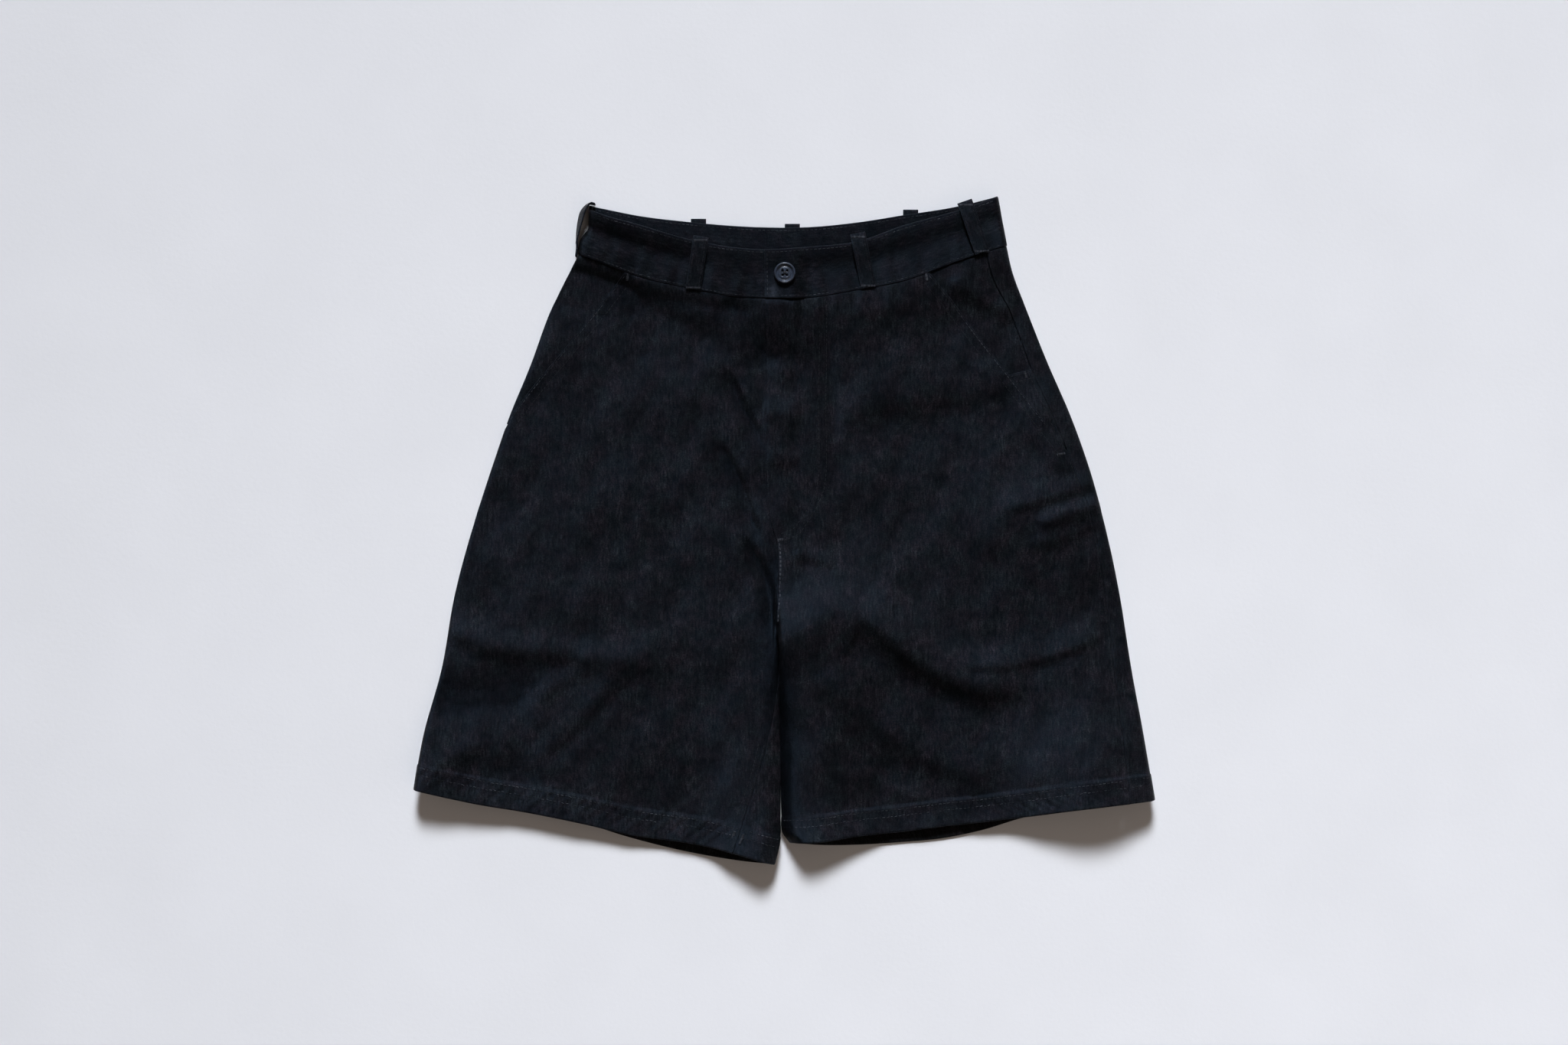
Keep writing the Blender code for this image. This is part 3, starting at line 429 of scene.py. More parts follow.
# The right side loop stands out from the band, edge on: its plan line from the top round to the seam
BOWED_LOOP = (
    (-0.1555, 0.2694), (-0.1620, 0.2698), (-0.1676, 0.2640), (-0.1700, 0.2550), (-0.1712, 0.2430),
    (-0.1704, 0.2340), (-0.1712, 0.2260),
)
BOWED_LOOP_FOOT = 0.0012
BOWED_LOOP_LEAN = 0.0046
BOWED_LOOP_LEAN_END = 4.6

# Waist button: turned profile from the middle of its face round to the middle of its back
BUTTON_PLACE = (0.0006, 0.2123)
BUTTON_STEPS = 72
BUTTON_PROFILE = (
    (0.0, 0.0019), (0.0030, 0.00195), (0.0044, 0.0020), (0.0050, 0.0018), (0.0056, 0.0011),
    (0.0062, 0.0011), (0.0068, 0.0020), (0.0073, 0.0029), (0.0078, 0.0031), (0.0083, 0.0028),
    (0.0087, 0.0022), (0.00875, 0.0016), (0.0084, 0.0008), (0.0070, 0.0001), (0.0, 0.0),
)
BUTTON_HOLE_RADIUS = 0.0011
BUTTON_HOLE_PITCH = 0.0034
BUTTON_HOLE_STEPS = 20
BUTTON_HOLE_DEPTH = 0.008
BUTTON_LIFT = 0.0006
BUTTON_THREAD_RADIUS = 0.00055
BUTTON_THREAD_RISE = 0.0024
BUTTON_THREAD_STEPS = 3

# Grid sizes
FRONT_COLUMNS = {LEFT: 118, RIGHT: 117}
UNDERLAP_COLUMNS = 3
OUTSEAM_COLUMNS = {LEFT: 9, RIGHT: 0}
BACK_COLUMNS = 70
INSEAM_COLUMNS = {LEFT: 0, RIGHT: 14}
FACING_ROWS = 66
FACING_COLUMNS = 26
COIN_ROWS = 28
COIN_COLUMNS = 18
BAND_COLUMNS = 84
BAND_ROWS = 18
BAND_EDGE_STEPS = (0.0, 0.0002, 0.0005, 0.0009, 0.0015)
LOOP_ROWS = 26
LOOP_COLUMNS = 8
BOW_STEPS = 8
WELD = 1e-6
RIM_ROUND = 0.00030
RIM_STEPS = 2
RIM_ANGLE = math.radians(55)

# How far out past the fold a slash pocket's edge is looked for, and how often that is halved
SEARCH_REACH = 0.08
HALVINGS = 40

# Sewing: stitch length, gap and thickness, and how far a line of it lies from its edge
STITCH = 0.0026
STITCH_GAP = 0.0009
THREAD_RADIUS = 0.00022
THREAD_SINK = 0.00016
TACK_PITCH = 0.00058
TACK_WIDTH = 0.0021
EDGE_INSET = 0.0017
SECOND_INSET = 0.0085
HEM_LINES = (0.0135, 0.0195)
RUN_STEP = 0.0012

# Wear: how far in from an edge the dye has rubbed off, and the rows where the rise seam has most
WEAR_REACH = 0.0011
RISE_WEAR_ROWS = (0.432, 0.584)
RISE_WEAR = 3.6
RISE_WEAR_FADE = 0.012
RISE_WEAR_REACH = 0.0023
TAB_WEAR = 5.0
TAB_WEAR_PLACE = 0.0065

# Painted shade, which darkens the fronts' colour where shade falls: how deep a trough shows it in full, and
# the valley between the legs on each side of its line, by where it begins and ends and how wide it is
PAINTED_SHADE_DEPTH = 0.0078
Valley = namedtuple("Valley", "top end width")
VALLEYS = {LEFT: Valley(-0.082, -0.266, 0.0150), RIGHT: Valley(0.004, -0.240, 0.0140)}
VALLEY_FADE = 0.034

# The cut of each piece: the size of the cloth that shows, its area and what it lies on
Cut = namedtuple("Cut", "width length area rests_on")

# Camera: straight down, as far off as shows this width of the surface
VIEW_WIDTH = 1.290
LENS, SENSOR = 85.0, 36.0
VIEW_PLACE = (-0.0004, 0.0064)
VIEW_LEVEL = 0.012


# --- Curves and soft steps ---------------------------------------------------------------


def smooth_line(places, values):
    """A smooth function through the given values, which runs straight on past its ends."""
    places, values = np.array(places, float), np.array(values, float)
    slopes = np.gradient(values, places)

    def at(place):
        inside = np.clip(place, places[0], places[-1])
        k = np.clip(np.searchsorted(places, inside) - 1, 0, len(places) - 2)
        gap = places[k + 1] - places[k]
        share = (inside - places[k]) / gap
        start, end = (1 + 2 * share) * (1 - share) ** 2, share * share * (3 - 2 * share)
        bend = share * (1 - share) ** 2 * slopes[k] - share * share * (1 - share) * slopes[k + 1]
        past = (place - inside) * np.where(place < inside, slopes[0], slopes[-1])
        return values[k] * start + values[k + 1] * end + gap * bend + past

    return at


def smooth_column(table, place, value):
    """The smooth function that a table's two named columns give."""
    return smooth_line([getattr(row, place) for row in table], [getattr(row, value) for row in table])


def smooth_route(line, steps):
    """A line through the given points, with so many short stretches between each two."""
    marks = np.arange(len(line))
    at = np.linspace(0, len(line) - 1, steps * (len(line) - 1) + 1)
    return np.stack([smooth_line(marks, [point[k] for point in line])(at) for k in range(2)], axis=1)


def soft_step(value):
    """0 below 0, 1 above 1, smooth between."""
    share = np.clip(value, 0.0, 1.0)
    return share * share * (3 - 2 * share)


def within(place, first, last, fade):
    """1 between two places, easing to 0 at each of them."""
    return soft_step((place - first) / fade) * soft_step((last - place) / fade)


def bell(away, reach):
    """1 at no distance, easing to almost 0 at twice the reach."""
    return np.exp(-((away / reach) ** 2))


def mix(start, end, share):
    return start + (end - start) * share


# Uneven waves are a sum of three even ones
EvenWave = namedtuple("EvenWave", "height pace start")
EVEN_WAVES = (EvenWave(1.0, 1.0, 0.0), EvenWave(0.6, 1.71, 1.3), EvenWave(0.45, 0.43, 0.4))
EVEN_HEIGHT = 1.6


def uneven(turns):
    """Waves of uneven height and spacing, from about -1 to 1."""
    waves = (wave.height * np.sin(wave.pace * turns + wave.start) for wave in EVEN_WAVES)
    return sum(waves) / EVEN_HEIGHT


def reaches(points):
    """How far along a line of points each of them lies."""
    steps = np.linalg.norm(np.diff(points, axis=0), axis=1)
    return np.concatenate([[0.0], np.cumsum(steps)])


FOLD_X = {side: smooth_column(SECTIONS, "y", f"{side}_fold") for side in SIDES}
LEFT_OUTSEAM = smooth_column(SECTIONS, "y", "left_outseam")
INNER_X = {side: smooth_column(INNER_LEGS, "y", f"{side}_fold") for side in SIDES}
RIGHT_INSEAM = smooth_column(INNER_LEGS, "y", "right_inseam")
CENTRE_X = {layer: smooth_column(CENTRES, "y", layer) for layer in LAYERS}
FRONT_SEAM_Y = smooth_column(WAIST, "x", "front_seam")
TOP_Y = {layer: smooth_column(WAIST, "x", f"{layer}_top") for layer in LAYERS}
HEM_Y = {(side, layer): smooth_column(HEMS[side], "x", layer) for side in SIDES for layer in LAYERS}
SLASH_X = {side: smooth_column(SLASHES[side], "y", "x") for side in SIDES}
BAND_FOLD_OUT = {side: smooth_column(BAND_FOLDS, "up", side) for side in SIDES}
CREASE_ROUTES = [smooth_route(crease.line, CREASE_STEPS) for crease in CREASES]


# --- Plan: where a row and a ring place lie, seen from above ------------------------------


def seam_y(layer, x):
    """The waist seam. At the back it lies a band's depth below the top edge."""
    if layer == FRONT:
        return FRONT_SEAM_Y(x)
    to_side = soft_step((np.abs(x) - SIDE_EASE_START) / SIDE_EASE_RUN)
    return mix(TOP_Y[BACK](x) - BAND_DEPTH, FRONT_SEAM_Y(x), to_side)


def outer_edge(side, row):
    """The outer fold."""
    y = mix(WAIST_SIDE_Y[side], HEM_SIDE_Y[side], row)
    return FOLD_X[side](y), y


def inner_edge(side, layer, row):
    """The centre seam down to the crotch, and the leg's inner fold below it."""
    top_y = seam_y(layer, CENTRE_X[layer](CENTRE_TOP_Y))
    rise_y = mix(top_y, CROTCH_Y, row / CROTCH_ROW)
    leg_y = mix(CROTCH_Y, HEM_INNER_Y[side], (row - CROTCH_ROW) / (1 - CROTCH_ROW))
    above = row < CROTCH_ROW
    eased = mix(CHANGE_PRESS, 1.0, np.abs(1 - 2 * changed_share(row)))
    press = mix(CROTCH_PRESS, LEG_PRESS, leg_share(row)) * eased
    leg_x = INNER_X[side](leg_y) - TOWARDS[side] * press
    return np.where(above, CENTRE_X[layer](rise_y), leg_x), np.where(above, rise_y, leg_y)


def leg_share(row):
    """0 above the crotch, 1 from just below it."""
    return soft_step((row - CROTCH_ROW) / PRESS_RUN)


def changed_share(row):
    """0 where the left leg's inner fold lies on top, 1 where the right's does."""
    return soft_step((row - CHANGE_START) / (CHANGE_END - CHANGE_START))


def width(side, layer, row):
    """Plan distance from a row's inner edge to its outer fold."""
    inner_x, inner_y = inner_edge(side, layer, row)
    outer_x, outer_y = outer_edge(side, row)
    return np.hypot(outer_x - inner_x, outer_y - inner_y)


def plan(side, layer, row, share):
    """Rows run from the waist seam's line at the top to the hem's at the bottom."""
    inner_x, inner_y = inner_edge(side, layer, row)
    outer_x, outer_y = outer_edge(side, row)
    x = mix(inner_x, outer_x, share)
    y = mix(inner_y, outer_y, share)
    for end, weight, line in (
        (AT_WAIST, 1 - row, lambda at: seam_y(layer, at)),
        (AT_HEM, row, HEM_Y[side, layer]),
    ):
        start_x, start_y = inner_edge(side, layer, end)
        end_x, end_y = outer_edge(side, end)
        bulge = line(mix(start_x, end_x, share)) - mix(start_y, end_y, share)
        y = y + weight * bulge
    return x, y


def slash_place(side, row):
    """Ring place where each row meets the slash pocket's edge, or far out below the pocket."""
    low = np.zeros_like(row)
    high = width(side, FRONT, row) + SEARCH_REACH
    for _ in range(HALVINGS):
        middle = (low + high) / 2
        x, y = plan(side, FRONT, row, middle / width(side, FRONT, row))
        inside = TOWARDS[side] * (SLASH_X[side](y) - x) > 0
        low, high = np.where(inside, middle, low), np.where(inside, high, middle)
    return low


def outseam_place(side, row):
    """Ring place of the outseam: over the front on the left, just under the fold on the right."""
    if side == RIGHT:
        return width(side, FRONT, row) + RIGHT_OUTSEAM
    _, y = outer_edge(side, row)
    return width(side, FRONT, row) - LEFT_OUTSEAM(y)


def right_inseam_place(row):
    """Ring place of the right inseam, which comes round over the front towards the hem."""
    _, y = inner_edge(RIGHT, FRONT, row)
    return RIGHT_INSEAM(y)


# --- Heights: how far the middle of the cloth lies above the surface ----------------------


def waist_share(layer, x, y):
    """1 on the waistband, easing to 0 below it, most quickly on the right front."""
    ease = WAIST_EASE
    if layer == FRONT:
        ease = mix(WAIST_EASE, RIGHT_WAIST_EASE, soft_step((RIGHT_EASE_START - x) / RIGHT_EASE_RUN))
    return 1 - soft_step((seam_y(layer, x) - y) / ease)


def band_rise(x, y):
    """The front of the waistband rises towards its top edge, but hardly by the button."""
    up = (y - FRONT_SEAM_Y(x)) / BAND_DEPTH
    free = 1 - BAND_HELD * bell(x - BUTTON_PLACE[0], BAND_HELD_REACH)
    return BAND_RISE * free * soft_step((up - BAND_RISE_START) / (1 - BAND_RISE_START))


def swell_share(x, y, swell):
    """1 at a swell's middle, easing to 0 round it."""
    return np.exp(-(((x - swell.x) / swell.across) ** 2) - ((y - swell.y) / swell.along) ** 2)


def crease_level(x, y, crease, route):
    """A ridge or trough along a route, steeper on one side than the other and gone at its ends."""
    nearest = np.full(x.shape, np.inf)
    above, along = np.ones(x.shape), np.zeros(x.shape)
    for k, (start, end) in enumerate(zip(route, route[1:])):
        run = end - start
        share = np.clip(((x - start[0]) * run[0] + (y - start[1]) * run[1]) / (run @ run), 0, 1)
        off_x, off_y = x - start[0] - share * run[0], y - start[1] - share * run[1]
        away = np.hypot(off_x, off_y)
        closer = away < nearest
        nearest = np.where(closer, away, nearest)
        above = np.where(closer, run[0] * off_y - run[1] * off_x, above)
        along = np.where(closer, (k + share) / (len(route) - 1), along)
    half = np.where(above > 0, crease.above, crease.below)
    return crease.height * within(along, 0, 1, CREASE_FADE) * bell(nearest, half)


def creases_level(x, y):
    """All creases. Each is worked out only near its own route."""
    level = np.zeros(np.shape(x))
    for crease, route in zip(CREASES, CREASE_ROUTES):
        reach = CREASE_REACH * max(crease.above, crease.below)
        low, high = route.min(axis=0) - reach, route.max(axis=0) + reach
        near = (x > low[0]) & (x < high[0]) & (y > low[1]) & (y < high[1])
        level[near] += crease_level(x[near], y[near], crease, route)
    return level


def slack(x, y):
    """The long low waves of the front."""
    level = np.zeros(np.shape(x))
    for wave in WAVES:
        heading = math.radians(wave.heading)
        along = x * math.cos(heading) + y * math.sin(heading)
        level += wave.height * np.sin(2 * math.pi * along / wave.length + wave.start)
    return level


def front_level(x, y, thickness=CLOTH):
    """Middle of the front's cloth, which never sinks into the back."""
    x, y = np.broadcast_arrays(np.asarray(x, float), np.asarray(y, float))
    at_waist = waist_share(FRONT, x, y)
    level = mix(SETTLED, BAND_FRONT_LEVEL, at_waist) + band_rise(x, y)
    level = level + slack(x, y) * (1 - WAIST_HOLD * at_waist)
    for swell in SWELLS:
        level = level + swell.front * swell_share(x, y, swell)
    level = np.maximum(level + creases_level(x, y), back_level(x, y) + CLOTH + SEAM_GAP)
    return level + (thickness - CLOTH) / 2


def back_level(x, y, thickness=CLOTH):
    """Middle of the back's cloth, which rests on the surface between its lifts."""
    level = mix(thickness / 2, BAND_BACK_LEVEL, waist_share(BACK, x, y))
    for swell in SWELLS:
        level = level + swell.back * swell_share(x, y, swell)
    return level


def turn_share(away, radius=FOLD_RADIUS, turn=ROUND_TURN):
    """How far a layer has come round a fold at this plan distance from the fold's edge."""
    return (1 - (1 - np.clip(away / radius, 0, 1)) ** 2) ** turn


def inner_turn_share(row, away):
    """The legs' inner folds are wide slopes towards the hems, so that a valley lies between them."""
    share = soft_step((row - INNER_FOLD_START) / (INNER_FOLD_FULL - INNER_FOLD_START))
    radius = mix(FOLD_RADIUS, INNER_FOLD_RADIUS, share)
    return turn_share(away, radius, mix(ROUND_TURN, SLOPING_TURN, share))


def pucker(kind, along, away):
    """Small uneven puckers beside a line of sewing."""
    turns = 2 * math.pi * (along + kind.slant * away) / kind.spacing
    return kind.height * uneven(turns) * bell(away, kind.reach)


def ring_points(side, row, place, thickness=CLOTH, rise=0.0):
    """Middle points of the cloth at these rows and ring places. Rise lifts it off its layer."""
    front_width, back_width = width(side, FRONT, row), width(side, BACK, row)
    on_front = (place <= front_width) | (place > front_width + back_width)
    past_inner = place - front_width - back_width
    front_place = np.where(past_inner > 0, past_inner, place)
    back_place = np.clip(front_width + back_width - place, 0, None)
    front_x, front_y = plan(side, FRONT, row, front_place / front_width)
    back_x, back_y = plan(side, BACK, row, back_place / back_width)
    x, y = np.where(on_front, front_x, back_x), np.where(on_front, front_y, back_y)
    from_inner = np.where(on_front, np.abs(front_place), back_place)
    to_crotch = np.hypot(x - CENTRE_X[FRONT](CROTCH_Y), y - CROTCH_Y)
    from_inner = np.where(row < CROTCH_ROW, to_crotch, from_inner)
    from_outer = np.abs(front_width - place)
    turned = np.minimum(inner_turn_share(row, from_inner), turn_share(from_outer))
    high, low = front_level(x, y, thickness), back_level(x, y, thickness)
    by_leg = leg_share(row) * (from_inner < from_outer)
    fold_height = mix(FOLD_HEIGHTS[side].crotch, FOLD_HEIGHTS[side].hem, changed_share(row))
    fold = mix(low, high, mix(0.5, fold_height, by_leg))
    z = np.where(on_front, mix(fold, high + rise, turned), mix(fold, low, turned))
    return np.stack([x, y, z], axis=-1)


# --- Rises: how the fronts ride over what is under them -----------------------------------


def slash_rise(side, rows, places):
    """The front panel rides over the facing by its slash edge, and higher over the coin pocket."""
    inside = slash_place(side, rows) - places
    lift = SLASH_RISE * (1 - soft_step((inside - SLASH_REACH) / SLASH_FADE))
    if side == RIGHT:
        return lift
    start, full, fall, stop = COIN_RISE_ROWS
    along = soft_step((rows - start) / (full - start)) * (1 - soft_step((rows - fall) / (stop - fall)))
    return lift + COIN_RISE * along * (1 - soft_step((inside - COIN_REACH) / SLASH_FADE))


def fly_rise(rows, places):
    """The left front laps over the right one."""
    across = 1 - soft_step((places - FLY_LAP_REACH) / FLY_LAP_FADE)
    down = 1 - soft_step((rows - FLY_FADE_START) / (FLY_FADE_END - FLY_FADE_START))
    return (CLOTH + LAP_GAP) * across * down


def front_rise(side, rows, places):
    """Laps, and the puckers along the slash edge, the hem's sewing and the waist seam."""
    rise = slash_rise(side, rows, places)
    if side == LEFT:
        rise = rise + fly_rise(rows, places)
    length = leg_length(side)
    to_slash = np.abs(slash_place(side, rows) - places)
    at_slash = pucker(SEAM_PUCKER, rows * length, to_slash) * (rows < SLASH_END[side])
    at_hem = pucker(HEM_PUCKER, places, np.abs(1 - rows) * length - HEM_LINES[0])
    at_waist = pucker(WAIST_PUCKER, places, rows * length)
    flare = HEM_FLARE * np.clip(1 - (1 - rows) * length / HEM_FLARE_RUN, 0, 1) ** 2
    return rise + at_slash + at_hem + at_waist + flare


def leg_length(side):
    """Plan length of the outer fold, from the waist seam to the hem."""
    top_x, top_y = outer_edge(side, AT_WAIST)
    end_x, end_y = outer_edge(side, AT_HEM)
    return math.hypot(end_x - top_x, end_y - top_y)


# --- Grids --------------------------------------------------------------------------------

OUTWARD = [FOLD_RADIUS * (1 - math.cos(math.radians(turn))) for turn in FOLD_TURNS]
LADDER = np.array([-away for away in OUTWARD[::-1]] + [0.0] + OUTWARD)
TIP_SEAM = FOLD_RADIUS * (1 - math.cos(TIP_TURN))

# Rows of every panel, in runs that end at the slash pockets, the crotch and the hem's sewing
RowRun = namedtuple("RowRun", "first last count")
ROW_RUNS = (
    RowRun(FIRST_ROW, 0.016, 8),
    RowRun(0.020, SLASH_END[RIGHT] - FACING_STOP[RIGHT], 62),
    RowRun(SLASH_END[RIGHT], SLASH_END[LEFT] - FACING_STOP[LEFT], 8),
    RowRun(SLASH_END[LEFT], CROTCH_ROW - CROTCH_STOP, 46),
    RowRun(CROTCH_ROW, HEM_ROW - HEM_STEP, 76),
    RowRun(HEM_ROW + HEM_STEP, 0.9960, 14),
    RowRun(0.9974, 1.0, 5),
)
ROWS = np.concatenate([np.linspace(run.first, run.last, run.count) for run in ROW_RUNS])[:, None]


def columns(start, end, tips, fills):
    """Ring places across a panel: its edges, a ladder round each fold, and even steps between."""
    groups = [start] + [np.clip(tip + LADDER, start, end) for tip in tips] + [end]
    marks = []
    for before, after, count in zip(groups, groups[1:], fills):
        share = np.arange(1, count + 1) / (count + 1)
        marks += [before, mix(before[:, -1:], after[:, :1], share)]
    marks.append(end)
    return np.hstack(marks)


def cloth_of(row):
    """The hem is turned up, so it is thicker, and its lower edge is a rounded fold."""
    to_edge = (1 - row) * LEG_LENGTH
    return np.where(row > HEM_ROW, HEM_CLOTH * rounded(to_edge, HEM_CLOTH), CLOTH)


def rounded(to_edge, thickness):
    """Share of the thickness this far in from a folded edge."""
    near = 1 - np.clip(to_edge / (thickness / 2), 0, 1)
    return mix(EDGE_LEFT, 1.0, np.sqrt(1 - near**2))


def to_row_frame(points):
    return points - (MIDDLE_X, MIDDLE_Y, 0.0)


def placed(name, data):
    """A new object of the scene."""
    made = bpy.data.objects.new(name, data)
    bpy.context.scene.collection.objects.link(made)
    return made


def add_marks(mesh, name, values):
    layer = mesh.attributes.new(name, "FLOAT", "POINT")
    layer.data.foreach_set("value", np.ascontiguousarray(values, np.float32).ravel())


def add_grain(mesh, grain):
    """The cloth's own coordinates: across the warp, and along it."""
    layer = mesh.uv_layers.new(name="grain")
    corners = np.zeros(len(mesh.loops), np.int32)
    mesh.loops.foreach_get("vertex_index", corners)
    layer.data.foreach_set("uv", np.ascontiguousarray(grain.reshape(-1, 2)[corners], np.float32).ravel())


def weld(mesh):
    """Joins points that lie in one place."""
    made = bmesh.new()
    made.from_mesh(mesh)
    bmesh.ops.remove_doubles(made, verts=made.verts, dist=WELD)
    made.to_mesh(mesh)
    made.free()


# What a shell's points can be marked with, for its materials
MARKS = ("wear", "hem", "painted_shade")


def shell(name, points, thickness, materials, grain, marks, weights=None, flip=False):
    """A sheet of cloth from a grid of its middle points, with a rounded rim and its own marks."""
    rows, across = points.shape[:2]
    mesh = bpy.data.meshes.new(name)
    index = np.arange(rows * across).reshape(rows, across)
    corners = [index[:-1, :-1], index[1:, :-1], index[1:, 1:], index[:-1, 1:]]
    faces = np.stack(corners[::-1] if flip else corners, axis=-1).reshape(-1, 4)
    mesh.from_pydata(to_row_frame(points).reshape(-1, 3).tolist(), [], faces.tolist())
    add_grain(mesh, grain)
    for kind in MARKS:
        add_marks(mesh, kind, marks.get(kind, np.zeros((rows, across))))
    obj = placed(name, mesh)
    if weights is not None:
        group = obj.vertex_groups.new(name="cloth")
        for level in np.unique(weights):
            group.add(np.flatnonzero(weights == level).tolist(), float(level), "REPLACE")
    weld(mesh)
    mesh.shade_smooth()
    for material in materials:
        mesh.materials.append(material)
    solid = obj.modifiers.new("Thickness", "SOLIDIFY")
    solid.thickness = thickness
    solid.offset = 0.0
    solid.material_offset = len(materials) - 1
    if weights is not None:
        solid.vertex_group = "cloth"
    rim = obj.modifiers.new("Rim", "BEVEL")
    rim.limit_method = "ANGLE"
    rim.angle_limit = RIM_ANGLE
    rim.width = RIM_ROUND
    rim.segments = RIM_STEPS
    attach(obj, "root")
    return obj


def lay(obj, node):
    """The piece stands for its node, whose own part is hidden."""
    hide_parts(node)


def tab_wear(along, across):
    """The lower corner of the tab's end is rubbed pale."""
    off_end, off_seam = (along - TAB_WEAR_PLACE) / TAB_WEAR_PLACE, (across - TAB_WEAR_PLACE) / TAB_WEAR_PLACE
    return TAB_WEAR * np.exp(-(off_end**2) - off_seam**2)


def edge_wear(*distances):
    """1 at any of the edges, gone a little way in from it."""
    return np.maximum.reduce([np.exp(-np.abs(distance) / WEAR_REACH) for distance in distances])


def rise_wear(rows, to_edge):
    """The left front's edge is worn most along the rise seam."""
    along = within(rows, *RISE_WEAR_ROWS, RISE_WEAR_FADE)
    return RISE_WEAR * along * np.exp(-np.abs(to_edge) / RISE_WEAR_REACH)


def painted_shade_share(side, places, points):
    """How much painted shade darkens a front's colour: in troughs, and in the valley between the legs."""
    x, y = points[..., 0], points[..., 1]
    trough = np.clip(-creases_level(x, y) / PAINTED_SHADE_DEPTH, 0, 1)
    valley = VALLEYS[side]
    along = within(y, valley.end, valley.top, VALLEY_FADE)
    return np.maximum(trough, along * bell(places, valley.width))


def unrolled(side, row, place, points):
    """Grain coordinates: plan places, which run on past the outer fold instead of turning back."""
    outer_x, _ = outer_edge(side, row)
    under = (place > width(side, FRONT, row)) & (place <= width(side, FRONT, row) + width(side, BACK, row))
    across = np.where(under, 2 * outer_x - points[..., 0], points[..., 0])
    return np.stack([across, points[..., 1]], axis=-1)


def panel(name, side, places, rise, materials, front=False):
    """A panel whose hem rows are thicker than the rest."""
    cloth = cloth_of(ROWS) * np.ones_like(places)
    points = ring_points(side, ROWS, places, cloth, rise)
    to_hem = (1 - ROWS) * leg_length(side) * np.ones_like(places)
    wear = edge_wear(places - places[:, :1], places[:, -1:] - places, to_hem)
    if front and side == LEFT:
        wear = np.maximum(wear, rise_wear(ROWS, places - places[:, :1]))
    marks = {"wear": wear, "hem": (ROWS > HEM_ROW) * np.ones_like(places)}
    # Fronts carry painted shade in their troughs and in the valley between the legs
    if front:
        marks["painted_shade"] = painted_shade_share(side, places, points)
    grain = unrolled(side, ROWS, places, points)
    weights = (cloth / HEM_CLOTH).ravel()
    return shell(name, points, HEM_CLOTH, materials, grain, marks, weights, flip=side == RIGHT)


# --- Panels -------------------------------------------------------------------------------


def centre_inset(rows):
    """How far each panel stops short of a centre seam, which is a little more at the crotch."""
    return mix(SEAM_GAP / 2, CROTCH_HALF, soft_step((rows - CROTCH_ROW) / CROTCH_EASE + 1))


def front_edges(side, rows):
    """Ring places of a front panel's inner and outer edges."""
    inseam = np.full_like(rows, TIP_SEAM)
    centre = centre_inset(rows)
    if side == RIGHT:
        inseam = np.maximum(inseam, right_inseam_place(rows) + SEAM_GAP / 2)
        centre = np.where(rows < FLY_END, -FLY_UNDERLAP, centre)
    start = np.where(rows < CROTCH_ROW, centre, inseam)
    outseam = outseam_place(side, rows) - SEAM_GAP / 2
    slash = np.minimum(slash_place(side, rows), outseam_place(side, rows) - SLASH_CLEAR[side])
    return start, np.where(rows < SLASH_END[side], slash, outseam)


def front_panel(side, materials):
    start, end = front_edges(side, ROWS)
    inner, outer = np.zeros_like(ROWS), width(side, FRONT, ROWS)
    if side == LEFT:
        places = columns(start, end, [inner], [0, FRONT_COLUMNS[side]])
    else:
        places = columns(start, end, [inner, outer], [UNDERLAP_COLUMNS, FRONT_COLUMNS[side], 0])
    rise = front_rise(side, ROWS, places)
    return panel(f"cloth_{side}_front", side, places, rise, materials, front=True)


def back_panel(side, materials):
    front_width, back_width = width(side, FRONT, ROWS), width(side, BACK, ROWS)
    round_width = front_width + back_width
    start = outseam_place(side, ROWS) + SEAM_GAP / 2
    inseam = np.full_like(ROWS, -TIP_SEAM)
    if side == RIGHT:
        reach = right_inseam_place(ROWS) - SEAM_GAP / 2
        inseam = np.where(reach > 0, reach, inseam)
    end = round_width + np.where(ROWS < CROTCH_ROW, -centre_inset(ROWS), inseam)
    fills = [OUTSEAM_COLUMNS[side], BACK_COLUMNS, INSEAM_COLUMNS[side]]
    places = columns(start, end, [front_width, round_width], fills)
    return panel(f"cloth_{side}_back", side, places, 0.0, materials)


def pocket_rows(first, last, count):
    """Even rows of a pocket's piece."""
    return np.linspace(first, last, count)[:, None]


def facing(side, materials):
    """The cloth seen in a slash pocket's mouth, which runs on under the front panel."""
    rows = pocket_rows(FIRST_ROW, SLASH_END[side] - FACING_STOP[side], FACING_ROWS)
    start = slash_place(side, rows) - FACING_UNDERLAP
    end = outseam_place(side, rows) - SEAM_GAP / 2
    tips = [] if side == LEFT else [width(side, FRONT, rows)]
    places = columns(start, end, tips, [FACING_COLUMNS] + [0] * len(tips))
    puckers = pucker(SEAM_PUCKER, rows * leg_length(side), places[:, -1:] - places)
    points = ring_points(side, rows, places, rise=puckers - FACING_DROP)
    marks = {"wear": edge_wear(places[:, -1:] - places)}
    grain = unrolled(side, rows, places, points)
    return shell(f"cloth_{side}_facing", points, CLOTH, materials, grain, marks, flip=side == RIGHT)


def coin_pocket_place(rows):
    """Ring places of the coin pocket's two sides."""
    return slash_place(LEFT, rows) - COIN_UNDERLAP, outseam_place(LEFT, rows) - SEAM_GAP / 2


